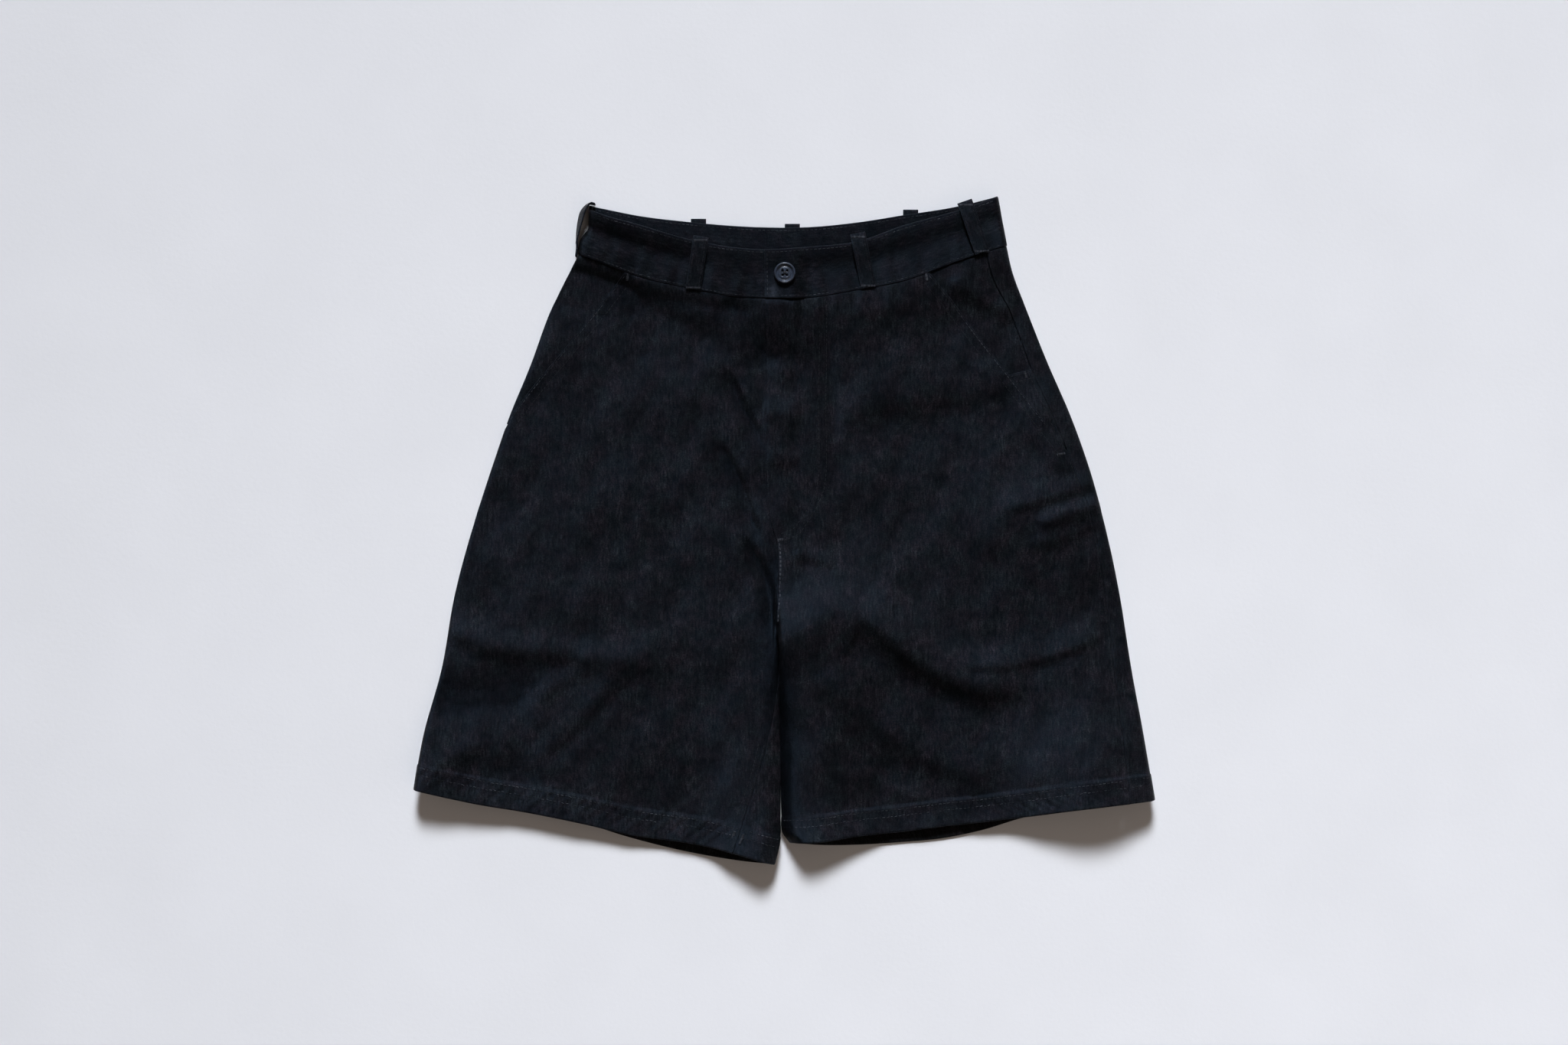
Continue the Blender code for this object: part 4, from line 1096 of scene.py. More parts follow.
def coin_pocket(materials):
    rows = pocket_rows(COIN_TOP, COIN_BOTTOM, COIN_ROWS)
    start, end = coin_pocket_place(rows)
    places = columns(start, end, [], [COIN_COLUMNS])
    points = ring_points(LEFT, rows, places, rise=CLOTH + SEAM_GAP - FACING_DROP)
    to_top = (rows - COIN_TOP) * leg_length(LEFT) * np.ones_like(places)
    marks = {"wear": edge_wear(to_top, places[:, -1:] - places)}
    grain = unrolled(LEFT, rows, places, points)
    return shell("cloth_coin_pocket", points, CLOTH, materials, grain, marks)


# --- Waistband and belt loops -------------------------------------------------------------


def band_dip(side, place, up):
    """The front of the band dips below its top edge, most of all at the right side."""
    depth = soft_step((place - BAND_DIP_START) / BAND_DIP_RUN) if side == RIGHT else BAND_DIP_LEFT
    return -BAND_DIP * depth * bell(up - BAND_DIP_UP, BAND_DIP_HALF)


def band_points(side, layer, place, up):
    """Middle points of the waistband: place is plan distance from the centre, up its height share."""
    reach = width(side, layer, AT_WAIST)
    share = place / reach
    low_x, low_y = plan(side, layer, AT_WAIST, share)
    high_x = mix(CENTRE_X[layer](CENTRE_TOP_Y), BAND_TIP_X[side], share)
    high_y = TOP_Y[layer](high_x)
    to_fold = soft_step(1 - (reach - place) / BAND_FOLD_REACH)
    x = mix(low_x, high_x, up) + TOWARDS[side] * BAND_FOLD_OUT[side](up) * to_fold
    y = mix(low_y, high_y, up)
    high, low = front_level(x, y), back_level(x, y)
    if layer == FRONT:
        high = high + band_dip(side, place, up) + pucker(WAIST_PUCKER, place, up * BAND_DEPTH)
    middle, half = (high + low) / 2, (high - low) / 2
    z = middle + half * turn_share(reach - place) * (1 if layer == FRONT else -1)
    if side == LEFT and layer == FRONT:
        z = z + tab_lift(place)
    return np.stack([x, y, z], axis=-1)


def tab_lift(place):
    """The left end of the band lies on the right end."""
    return (BAND_CLOTH + LAP_GAP) * (1 - soft_step((place - BAND_LAP_REACH) / BAND_LAP_FADE))


def band_stretch(side, layer, start):
    """Places from near the centre out to the fold, the last ones close together."""
    reach = width(side, layer, AT_WAIST)
    bend = reach + LADDER[: len(FOLD_TURNS) + 1]
    return np.concatenate([np.linspace(start, bend[0], BAND_COLUMNS, endpoint=False), bend])


def waistband(materials):
    """One strip: from the tab over the left front, round the back, and under the tab."""
    edge = np.array(BAND_EDGE_STEPS) / BAND_DEPTH
    up = np.concatenate([edge, np.linspace(edge[-1], 1 - edge[-1], BAND_ROWS)[1:-1], 1 - edge[::-1]])
    up = mix(SEAM_GAP / BAND_DEPTH / 2, 1.0, up)[:, None]
    stretches = (
        (LEFT, FRONT, band_stretch(LEFT, FRONT, 0.0)),
        (LEFT, BACK, band_stretch(LEFT, BACK, 0.0)[:-1][::-1]),
        (RIGHT, BACK, band_stretch(RIGHT, BACK, 0.0)[1:-1]),
        (RIGHT, FRONT, band_stretch(RIGHT, FRONT, -BAND_UNDERLAP)[::-1]),
    )
    parts = [band_points(side, layer, places[None, :], up) for side, layer, places in stretches]
    points = np.concatenate(parts, axis=1)
    along = reaches(points[len(up) // 2])[None, :] * np.ones_like(up)
    across = up * BAND_DEPTH * np.ones_like(along)
    marks = {"wear": np.maximum(edge_wear(across, BAND_DEPTH - across, along), tab_wear(along, across))}
    grain = np.stack([across, along], axis=-1)
    weights = rounded(np.minimum(across, BAND_DEPTH - across), BAND_CLOTH).ravel()
    return shell("cloth_waistband", points, BAND_CLOTH, materials, grain, marks, weights, flip=True)


def loop_grid(loop, sides, along):
    """Middle points of a loop on the band, by share across and share along it."""
    middle_x, middle_y = mix(loop.bottom_x, loop.top_x, along), mix(loop.bottom_y, loop.top_y, along)
    run_x, run_y = loop.top_x - loop.bottom_x, loop.top_y - loop.bottom_y
    length = math.hypot(run_x, run_y)
    stand = LOOP_STAND * soft_step((along - LOOP_STAND_START) / (1 - LOOP_STAND_START))
    side = sides * LOOP_WIDTH
    x = middle_x + side * run_y / length + stand * run_x / length
    y = middle_y - side * run_x / length + stand * run_y / length
    if loop.layer == FRONT:
        off = (BAND_CLOTH + LOOP_CLOTH) / 2 + SEAM_GAP
        z = front_level(middle_x, middle_y) + off + LOOP_BOW * np.sin(math.pi * along)
        z = z - LOOP_EDGE_DROP * np.abs(2 * sides) ** LOOP_EDGE_SHARPNESS
    else:
        z = np.full_like(along, LOOP_CLOTH / 2)
    return np.stack([x, y, np.broadcast_to(z, x.shape)], axis=-1)


def loop_shell(name, points, materials):
    """A strip from a grid of its middle points, worn at its two sides and its end."""
    rows, across = points.shape[:2]
    sides = np.linspace(0.0, LOOP_WIDTH, across)[None, :] * np.ones((rows, 1))
    along = reaches(points[:, across // 2])[:, None] * np.ones((1, across))
    marks = {"wear": edge_wear(sides, LOOP_WIDTH - sides, along[-1:] - along)}
    return shell(name, points, LOOP_CLOTH, materials, np.stack([sides, along], axis=-1), marks)


def belt_loop(loop, materials):
    """A strip on the band's outer face, which bows off it and stands just past its top edge."""
    along = np.linspace(0.0, 1.0, LOOP_ROWS + 1)[:, None]
    sides = np.linspace(-0.5, 0.5, LOOP_COLUMNS + 1)[None, :]
    return loop_shell(f"cloth_{loop.name}", loop_grid(loop, sides, along), materials)


def bowed_loop(materials):
    """The right side loop: a strip on edge, bowed out from the band's fold."""
    x, y = smooth_route(BOWED_LOOP, BOW_STEPS).T
    along = np.linspace(0, len(BOWED_LOOP) - 1, len(x))
    lean = BOWED_LOOP_LEAN * np.sin(math.pi * np.clip(along / BOWED_LOOP_LEAN_END, 0, 1))
    points = np.stack(
        [
            np.stack([x + lean * up, y, np.full_like(x, BOWED_LOOP_FOOT + LOOP_WIDTH * up)], axis=-1)
            for up in np.linspace(0.0, 1.0, LOOP_COLUMNS + 1)
        ],
        axis=1,
    )
    return loop_shell("cloth_loop_side_right", points, materials)


# --- Button -------------------------------------------------------------------------------


def button_seat():
    """Where the button's back lies, in the row frame."""
    x, y = BUTTON_PLACE
    z = float(front_level(x, y)) + float(tab_lift(0.0)) + BAND_CLOTH / 2 + BUTTON_LIFT
    return x - MIDDLE_X, y - MIDDLE_Y, z


def waist_button(material):
    """A turned four-hole button with a raised rim, sewn on the tab."""
    mesh = bpy.data.meshes.new("button")
    verts = [(radius, 0.0, height) for radius, height in BUTTON_PROFILE]
    mesh.from_pydata(verts, [(k, k + 1) for k in range(len(verts) - 1)], [])
    mesh.materials.append(material)
    button = placed("button", mesh)
    button.location = button_seat()
    turned = button.modifiers.new("Turned", "SCREW")
    turned.steps = turned.render_steps = BUTTON_STEPS
    turned.use_merge_vertices = True
    turned.merge_threshold = WELD
    turned.use_smooth_shade = True
    holes = button.modifiers.new("Holes", "BOOLEAN")
    holes.object = button_holes(button.location)
    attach(button, "root")
    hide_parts("waist_button")


def hole_places():
    """Plan places of the four holes about the button's middle, in order round it."""
    away = BUTTON_HOLE_PITCH / math.sqrt(2)
    turns = [math.radians(45 + 90 * quarter) for quarter in range(4)]
    return [(away * math.cos(turn), away * math.sin(turn)) for turn in turns]


def button_holes(place):
    """The pins that cut the four holes. They never show."""
    made = bmesh.new()
    for x, y in hole_places():
        pin = bmesh.ops.create_cone(
            made,
            cap_ends=True,
            segments=BUTTON_HOLE_STEPS,
            radius1=BUTTON_HOLE_RADIUS,
            radius2=BUTTON_HOLE_RADIUS,
            depth=BUTTON_HOLE_DEPTH,
        )
        bmesh.ops.translate(made, verts=pin["verts"], vec=(x, y, 0.0))
    mesh = bpy.data.meshes.new("button_holes")
    made.to_mesh(mesh)
    made.free()
    cutter = placed("button_holes", mesh)
    cutter.location = place
    cutter.hide_render = True
    cutter.hide_viewport = True
    return cutter


def button_thread(material):
    """Two crossing threads through the button's four holes."""
    curve = bpy.data.curves.new("button_thread", "CURVE")
    curve.dimensions = "3D"
    curve.bevel_depth = BUTTON_THREAD_RADIUS
    curve.bevel_resolution = BUTTON_THREAD_STEPS
    curve.use_fill_caps = True
    holes = hole_places()
    for (start_x, start_y), (end_x, end_y) in ((holes[0], holes[2]), (holes[1], holes[3])):
        spline = curve.splines.new("BEZIER")
        spline.bezier_points.add(2)
        stops = (
            (start_x, start_y, 0.0),
            (0.0, 0.0, BUTTON_THREAD_RISE),
            (end_x, end_y, 0.0),
        )
        for point, stop in zip(spline.bezier_points, stops):
            point.co = stop
            point.handle_left_type = point.handle_right_type = "AUTO"
    curve.materials.append(material)
    made = placed("button_thread", curve)
    made.location = button_seat()
    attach(made, "root")


# --- Sewing -------------------------------------------------------------------------------

NUDGE = 0.0004


def with_normals(point_at, across, along):
    """Points of a surface and its normals, from the function that gives the points."""
    points = point_at(across, along)
    by_across = point_at(across + NUDGE, along) - points
    by_along = point_at(across, along + NUDGE) - points
    normals = np.cross(by_across, by_along)
    normals /= np.linalg.norm(normals, axis=-1, keepdims=True)
    return points, normals


def panel_skin(side, rows, places, rise_at=front_rise):
    """The outer face of a panel at these rows and ring places, with its normals."""
    length = leg_length(side)

    def point_at(place, down):
        row = down / length
        return ring_points(side, row, place, cloth_of(row), rise_at(side, row, place))

    points, normals = with_normals(point_at, places, rows * length)
    normals *= -TOWARDS[side]
    return points + normals * (cloth_of(rows)[..., None] / 2), normals


def facing_rise(side, row, place):
    """A facing lies this far under the level of the front."""
    return np.full(np.broadcast(row, place).shape, -FACING_DROP)


def coin_rise(side, row, place):
    """The coin pocket lies on the facing."""
    return np.full(np.broadcast(row, place).shape, CLOTH + SEAM_GAP - FACING_DROP)


def evenly(start, end, reach):
    """Places from start to end, close enough to follow the cloth's form."""
    return np.linspace(start, end, max(2, round(reach / RUN_STEP)))


def row_run(side, inset, start, end):
    """A line across a panel, this far up from its hem."""
    places = evenly(start, end, abs(end - start))
    return panel_skin(side, np.full_like(places, 1 - inset / leg_length(side)), places)


def place_run(side, first, last, place_at, **skin):
    """A line down a panel, at the ring place that a function gives for each row."""
    rows = evenly(first, last, (last - first) * leg_length(side))
    return panel_skin(side, rows, place_at(rows), **skin)


def beside_outseam(inset):
    """Ring place this far in from the left outseam."""
    return lambda rows: outseam_place(LEFT, rows) - inset


def beside_inseam(inset):
    """Ring place this far out from the right inseam."""
    return lambda rows: right_inseam_place(rows) + inset


def beside_centre(inset):
    """Ring place this far out from the centre seam."""
    return lambda rows: np.full_like(rows, inset)


def band_skin(side, layer, places, ups, inner=False):
    """The outer or inner face of the waistband, with its normals."""

    def point_at(place, high):
        return band_points(side, layer, place, high / BAND_DEPTH)

    points, normals = with_normals(point_at, places, ups * BAND_DEPTH)
    normals *= TOWARDS[side] * (1 if layer == FRONT else -1) * (-1 if inner else 1)
    return points + normals * BAND_CLOTH / 2, normals


def band_run(side, layer, start, end, up, inner=False):
    """A line along the waistband, at one share of its depth."""
    places = evenly(start, end, abs(end - start))
    return band_skin(side, layer, places, np.full_like(places, up), inner)


def plan_skin(x, y, rise):
    """The front's upper face at plan places away from its folds."""

    def point_at(across, along):
        return np.stack([across, along, front_level(across, along) + rise], axis=-1)

    points, normals = with_normals(point_at, x, y)
    return points + normals * CLOTH / 2, normals


def spaced(points, normals, pitch):
    """Places a pitch apart along a run, with the direction and the normal at each."""
    reach = reaches(points)
    marks = np.arange(pitch / 2, reach[-1], pitch)

    def found(places, values):
        return np.stack([np.interp(places, reach, values[:, k]) for k in range(3)], axis=1)

    run = found(marks + pitch / 4, points) - found(marks - pitch / 4, points)
    run /= np.linalg.norm(run, axis=1, keepdims=True)
    up = found(marks, normals)
    up -= run * (up * run).sum(axis=1, keepdims=True)
    return found(marks, points), run, up / np.linalg.norm(up, axis=1, keepdims=True)


# A stitch: rings of its rounded body, by share of its length and of its thickness, and how far its
# middle is lifted out of the cloth, as a share of what shows
StitchRing = namedtuple("StitchRing", "along thick")
STITCH_RINGS = (StitchRing(-0.42, 0.75), StitchRing(0.0, 1.0), StitchRing(0.42, 0.75))
STITCH_SIDES = 6
STITCH_LIFT = 0.4

# How much stitches differ: their tilt, and the shares of their length and of the thread's thickness
STITCH_TILT = 0.04
STITCH_LENGTHS = (0.86, 1.04)
STITCH_THICKNESSES = (0.85, 1.1)
TACK_LENGTHS = (0.85, 1.1)
TACK_THICKNESSES = (0.9, 1.1)
LINE_SEEDS = 1000
TACK_SEED = 7

# The tone of a line's thread drifts about its middle, and each stitch differs a little from that
TONE_MIDDLE, TONE_DRIFT, TONE_SPREAD = 0.30, 0.40, 0.30
TONE_PACE = 0.31
TONE_STARTS = 40
TACK_TONE, TACK_TONE_SPREAD = 0.45, 0.25


def stitch_faces():
    """Faces of one stitch: a fan at each tip and quads between its rings."""
    faces = [(0, 1 + k, 1 + (k + 1) % STITCH_SIDES) for k in range(STITCH_SIDES)]
    for ring in range(len(STITCH_RINGS) - 1):
        first, second = 1 + ring * STITCH_SIDES, 1 + (ring + 1) * STITCH_SIDES
        for k in range(STITCH_SIDES):
            after = (k + 1) % STITCH_SIDES
            faces.append((first + k, second + k, second + after, first + after))
    last, tip = 1 + (len(STITCH_RINGS) - 1) * STITCH_SIDES, 1 + len(STITCH_RINGS) * STITCH_SIDES
    return faces + [(tip, last + (k + 1) % STITCH_SIDES, last + k) for k in range(STITCH_SIDES)]


def stitch_bodies(at, run, up, length, radius):
    """Points of one rounded body for each stitch."""
    beside = np.cross(run, up)
    middle = at + up * (radius - THREAD_SINK)[:, None] * STITCH_LIFT
    half = (length / 2)[:, None]
    bodies = [middle - run * half]
    for ring in STITCH_RINGS:
        for k in range(STITCH_SIDES):
            turn = 2 * math.pi * k / STITCH_SIDES
            out = beside * math.cos(turn) + up * math.sin(turn)
            bodies.append(middle + 2 * ring.along * run * half + out * (ring.thick * radius)[:, None])
    bodies.append(middle + run * half)
    return np.stack(bodies, axis=1)


def stitched(name, bodies, tones, material):
    """One mesh of many stitches, each marked with its own tone."""
    size = bodies.shape[1]
    corners = stitch_faces()
    faces = [tuple(corner + size * k for corner in face) for k in range(len(bodies)) for face in corners]
    mesh = bpy.data.meshes.new(name)
    mesh.from_pydata(to_row_frame(bodies).reshape(-1, 3).tolist(), [], faces)
    add_marks(mesh, "tone", np.repeat(tones, size))
    mesh.materials.append(material)
    mesh.shade_smooth()
    obj = placed(name, mesh)
    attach(obj, "root")


def sewing(name, runs, material):
    """Short raised stitches along each run. Some catch more light than others."""
    bodies, tones = [], []
    for number, (showing, (points, normals)) in enumerate(runs):
        at, run, up = spaced(points, normals, STITCH + STITCH_GAP)
        count = len(at)
        chance = np.random.default_rng(LINE_SEEDS * len(name) + number)
        tilted = run + up * chance.uniform(-STITCH_TILT, STITCH_TILT, count)[:, None]
        length = STITCH * chance.uniform(*STITCH_LENGTHS, count)
        radius = THREAD_RADIUS * chance.uniform(*STITCH_THICKNESSES, count)
        bodies.append(stitch_bodies(at, tilted, up, length, radius))
        tones.append(showing * thread_tone(chance, count))
    stitched(name, np.concatenate(bodies), np.concatenate(tones), material)


def thread_tone(chance, count):
    """0 for thread that sinks into the cloth, 1 for thread that shows; the tones are partly painted
    highlight and shade, for how much light each stitch catches. It drifts along a line.
    """
    drift = uneven(np.arange(count) * TONE_PACE + chance.uniform(0, TONE_STARTS))
    return np.clip(TONE_MIDDLE + TONE_DRIFT * drift + chance.normal(0, TONE_SPREAD, count), 0.0, 1.0)


# How much of each kind of line's thread shows, which is partly painted highlight
SHOWN = {
    "hems": 0.8,
    "slash_edges": 0.7,
    "slash_second_lines": 0.06,
    "facings": 0.2,
    "fly": 0.10,
    "inseam": 0.12,
    "outseam": 0.05,
    "rise": 2.4,
    "band": 0.6,
    "loops": 0.04,
}


def shown(kind, runs):
    """Runs with how much of their thread shows."""
    return [(SHOWN[kind], run) for run in runs]


# How far lines stop short of a fold, and the row where lines below the waist seam begin
FOLD_CLEAR = 0.0012
HEM_CLEAR = 0.0005
SEWING_TOP = 0.006


def hem_runs():
    """Two lines round each hem, over the front and a little way round the outer or inner fold."""
    runs = []
    for side in SIDES:
        for inset in HEM_LINES:
            row = np.array([1 - inset / leg_length(side)])
            start, end = front_edges(side, row)
            runs.append(row_run(side, inset, start[0] + EDGE_INSET, end[0] - EDGE_INSET / 2))
            if side == LEFT:
                outer = width(side, FRONT, row)[0]
                runs.append(row_run(side, inset, end[0] + EDGE_INSET, outer - HEM_CLEAR))
            else:
                runs.append(row_run(side, inset, FOLD_CLEAR, start[0] - EDGE_INSET))
    return runs


def slash_offset(side, inset):
    """Ring place this far in from a slash pocket's edge, stopping at the side fold or seam."""

    def place_at(rows):
        slash = slash_place(side, rows) - inset
        return np.minimum(slash, outseam_place(side, rows) - SLASH_CLEAR[side] - inset / 2)

    return place_at


# How many rows past the pocket's end its two lines go on
EDGE_LINE_PAST, SECOND_LINE_PAST = -0.004, 0.010


def slash_runs(inset, past_end):
    """A line beside each slash pocket's edge."""
    ends = {side: SLASH_END[side] + past_end for side in SIDES}
    return [place_run(side, SEWING_TOP, ends[side], slash_offset(side, inset)) for side in SIDES]


def pocket_runs():
    """All the lines of the pockets, with how much they show."""
    edges, second = slash_runs(EDGE_INSET, EDGE_LINE_PAST), slash_runs(SECOND_INSET, SECOND_LINE_PAST)
    slashes = shown("slash_edges", edges) + shown("slash_second_lines", second)
    return slashes + shown("facings", facing_runs())


# The rows of the line down the left facing, and the coin pocket's lines: how far down from its top
# edge two of them lie, how far in from the outseam the third does, and where they end
FACING_LINE_ROWS = (0.008, SLASH_END[LEFT] - 0.02)
COIN_HEM_LINES = (EDGE_INSET, 0.0072)
COIN_SIDE_INSET = 2.2 * EDGE_INSET
COIN_SIDE_CLEAR = 0.001
COIN_END_ROWS = 0.004


def facing_runs():
    """One line down the left facing beside the outseam, and the coin pocket's lines."""
    runs = [place_run(LEFT, *FACING_LINE_ROWS, beside_outseam(EDGE_INSET), rise_at=facing_rise)]
    for inset in COIN_HEM_LINES:
        row = COIN_TOP + inset / leg_length(LEFT)
        start, end = coin_pocket_place(np.array([row]))
        places = evenly(start[0] + COIN_UNDERLAP, end[0] - COIN_SIDE_CLEAR, end[0] - start[0])
        runs.append(panel_skin(LEFT, np.full_like(places, row), places, rise_at=coin_rise))
    first, last = COIN_TOP + COIN_END_ROWS, COIN_BOTTOM - COIN_END_ROWS
    runs.append(place_run(LEFT, first, last, beside_outseam(COIN_SIDE_INSET), rise_at=coin_rise))
    return runs


# The curve of the fly's sewing, from the waist seam down to the fly's end
FLY_CURVE = (
    (0.0352, 0.1905), (0.0350, 0.1410), (0.0342, 0.0970), (0.0350, 0.0660), (0.0338, 0.0400),
    (0.0280, 0.0220), (0.0185, 0.0060), (0.0110, -0.0030), (-0.0015, -0.0080),
)
FLY_CURVE_STEPS = 14
FLY_LINES = (0.0, 0.0060)

# The height of the waist seam and the drop from there to the crotch, which give the curve's rows
FLY_TOP_Y, FLY_DROP = 0.19, 0.27

# Lines beside the rise seam: two on the right front, and the bright pair on the lapping left front
RIGHT_RISE_ROWS = (FLY_FADE_END + 0.004, 0.578)
RIGHT_RISE_LINES = (EDGE_INSET, SECOND_INSET - 0.002)
LEFT_RISE_LINES = (0.0010, 0.0017)


def fly_runs():
    """Two lines along the fly's curve, and the right front's lines beside the rise seam below it."""
    route = smooth_route(FLY_CURVE, FLY_CURVE_STEPS)
    run = np.gradient(route, axis=0)
    run /= np.linalg.norm(run, axis=1, keepdims=True)
    runs = []
    for inset in FLY_LINES:
        x, y = route[:, 0] + run[:, 1] * inset, route[:, 1] - run[:, 0] * inset
        lap = fly_rise((FLY_TOP_Y - y) / FLY_DROP * CROTCH_ROW, x - CENTRE_X[FRONT](y))
        runs.append(plan_skin(x, y, lap))
    return runs + [place_run(RIGHT, *RIGHT_RISE_ROWS, beside_centre(inset)) for inset in RIGHT_RISE_LINES]


def rise_runs():
    """The bright lines on the lapping side of the rise seam, from the fly's end to the crotch."""
    return [place_run(LEFT, *RISE_WEAR_ROWS, beside_centre(inset)) for inset in LEFT_RISE_LINES]


# Lines beside the right inseam, where it comes round over the front, and beside the left outseam
INSEAM_LINE_ROWS = (0.80, 0.995)
INSEAM_LINES = (EDGE_INSET, EDGE_INSET + 0.0045)
OUTSEAM_LINE_ROWS = (SLASH_END[LEFT] + 0.012, 0.996)


def leg_runs():
    """The lines beside the inseam and the outseam, with how much they show."""
    inner = [place_run(RIGHT, *INSEAM_LINE_ROWS, beside_inseam(inset)) for inset in INSEAM_LINES]
    outer = [place_run(LEFT, *OUTSEAM_LINE_ROWS, beside_outseam(EDGE_INSET))]
    return shown("inseam", inner) + shown("outseam", outer)


# The waistband's lines: how far in from its edges they lie, and where they begin and end
BAND_TOP_INSET, BAND_SEAM_INSET, BAND_TAB_INSET = 0.0024, 0.0022, 0.0022
BAND_LINE_START = {LEFT: 0.0020, RIGHT: 0.0010}
BAND_BACK_START = 0.0005
BAND_FOLD_CLEAR = 0.004


def band_runs():
    """Lines along the top and the bottom of the band, its tab's end, and its inner back face."""
    top, bottom = 1 - BAND_TOP_INSET / BAND_DEPTH, BAND_SEAM_INSET / BAND_DEPTH
    runs = []
    for side in SIDES:
        reach = width(side, FRONT, AT_WAIST) - BAND_FOLD_CLEAR
        runs += [band_run(side, FRONT, BAND_LINE_START[side], reach, up) for up in (top, bottom)]
    ups = evenly(bottom, top, BAND_DEPTH)
    runs.append(band_skin(LEFT, FRONT, np.full_like(ups, BAND_TAB_INSET), ups))
    for side in SIDES:
        reach = width(side, BACK, AT_WAIST) - BAND_FOLD_CLEAR
        runs += [band_run(side, BACK, BAND_BACK_START, reach, up, inner=True) for up in (top, bottom)]
    return runs


# Each loop's lines, by share of its length and its width, and where its two bartacks lie along it
LOOP_LINE_ENDS = (0.04, 0.96)
LOOP_LINE_STEPS = 36
LOOP_LINES = (-0.34, 0.34)
LOOP_TACKS = (0.03, 0.94)
LOOP_TACK_LENGTH = 0.9 * LOOP_WIDTH
UPWARDS = np.array([0.0, 0.0, 1.0])


def front_loops():
    return [loop for loop in LOOPS if loop.layer == FRONT]


def loop_skin(loop, side, along):
    """The outer face of a loop, along a line at this share of its width."""
    return loop_grid(loop, np.array([[side]]), along)[:, 0] + UPWARDS * LOOP_CLOTH / 2


def loop_runs():
    """Two lines along each loop on the front of the band."""
    along = np.linspace(*LOOP_LINE_ENDS, LOOP_LINE_STEPS)[:, None]
    normals = np.tile(UPWARDS, (LOOP_LINE_STEPS, 1))
    return [(loop_skin(loop, side, along), normals) for loop in front_loops() for side in LOOP_LINES]


def tack(middle, normal, heading, length):
    """A bartack: close stitches across a short line."""
    run = np.array([math.cos(heading), math.sin(heading), 0.0])
    run -= normal * (run @ normal)
    run /= np.linalg.norm(run)
    marks = np.arange(-length / 2, length / 2, TACK_PITCH)
    at = middle + marks[:, None] * run
    beside = np.cross(normal, run)
    return at, np.tile(beside, (len(at), 1)), np.tile(normal, (len(at), 1))


# A bartack on a panel: its row and ring place, the heading of its line in degrees, and its length
PanelTack = namedtuple("PanelTack", "side row place heading length rise_at", defaults=(front_rise,))
SLASH_TACK_INSET = 0.002


def panel_tacks():
    """The bartacks at both ends of the pockets, the coin pocket, the fly's end and the inseam."""
    top = np.array([SEWING_TOP])
    slash_end = slash_offset(LEFT, SLASH_TACK_INSET)(np.array([SLASH_END[LEFT]]))[0]
    coin_end = coin_pocket_place(np.array([COIN_TOP + COIN_END_ROWS]))[1][0]
    return (
        PanelTack(LEFT, SLASH_END[LEFT] + 0.004, slash_end - 0.003, 12, 0.0065),
        PanelTack(LEFT, SEWING_TOP, slash_place(LEFT, top)[0] - 0.004, 100, 0.0060),
        PanelTack(RIGHT, SEWING_TOP, slash_place(RIGHT, top)[0] - 0.004, 80, 0.0060),
        PanelTack(LEFT, COIN_TOP + 0.006, coin_end - 0.006, 105, 0.0050, coin_rise),
        PanelTack(LEFT, 0.434, 0.0035, 0, 0.0050),
        PanelTack(RIGHT, 0.972, 0.0300, 72, 0.0085),
        PanelTack(RIGHT, 0.970, 0.0375, 72, 0.0085),
    )


def panel_tack(one):
    row, place = np.array([one.row]), np.array([one.place])
    points, normals = panel_skin(one.side, row, place, one.rise_at)
    return tack(points[0], normals[0], math.radians(one.heading), one.length)


def loop_tack(loop, share):
    return tack(loop_skin(loop, 0.0, np.array([[share]]))[0], UPWARDS, 0.0, LOOP_TACK_LENGTH)


def tacks(material):
    """All the bartacks, in one mesh."""
    rows = [panel_tack(one) for one in panel_tacks()]
    rows += [loop_tack(loop, share) for loop in front_loops() for share in LOOP_TACKS]
    at, run, up = (np.concatenate([row[k] for row in rows]) for k in range(3))
    count = len(at)
    chance = np.random.default_rng(TACK_SEED)
    length = TACK_WIDTH * chance.uniform(*TACK_LENGTHS, count)
    radius = THREAD_RADIUS * chance.uniform(*TACK_THICKNESSES, count)
    bodies = stitch_bodies(at, run, up, length, radius)
    tones = np.clip(chance.normal(TACK_TONE, TACK_TONE_SPREAD, count), 0, 1)
    stitched("bartacks", bodies, tones, material)


# --- Materials ----------------------------------------------------------------------------

INDIGO = (0.0057, 0.0055, 0.0063)
GLOSS_TINT = (0.45, 0.68, 1.0, 1.0)
# Painted shade: how far the colour is darkened in troughs and between the legs
PAINTED_SHADE_TONE = (0.16, 0.18, 0.20)
TEAL_CAST = (0.86, 1.05, 1.03)
PLUM_CAST = (1.13, 0.96, 1.04)
WORN = (0.026, 0.030, 0.040)
SPECK = (0.030, 0.032, 0.038)
WRONG_SIDE = (0.030, 0.036, 0.048)
WRONG_SIDE_DARK = (0.012, 0.014, 0.022)
THREAD_DARK = (0.0060, 0.0066, 0.0090)
THREAD_PALE = (0.085, 0.092, 0.110)
BUTTON_COLOUR = (0.032, 0.045, 0.072)
BUTTON_DARK = (0.016, 0.020, 0.028)
BUTTON_THREAD_COLOUR = (0.016, 0.018, 0.024)
BUTTON_THREAD_DARK = (0.004, 0.005, 0.008)
FLOOR_COLOUR = (0.800, 0.800, 0.815)
DENIM_GLOSS = 0.125
BAND_DEPTH_OF_DYE = 0.72

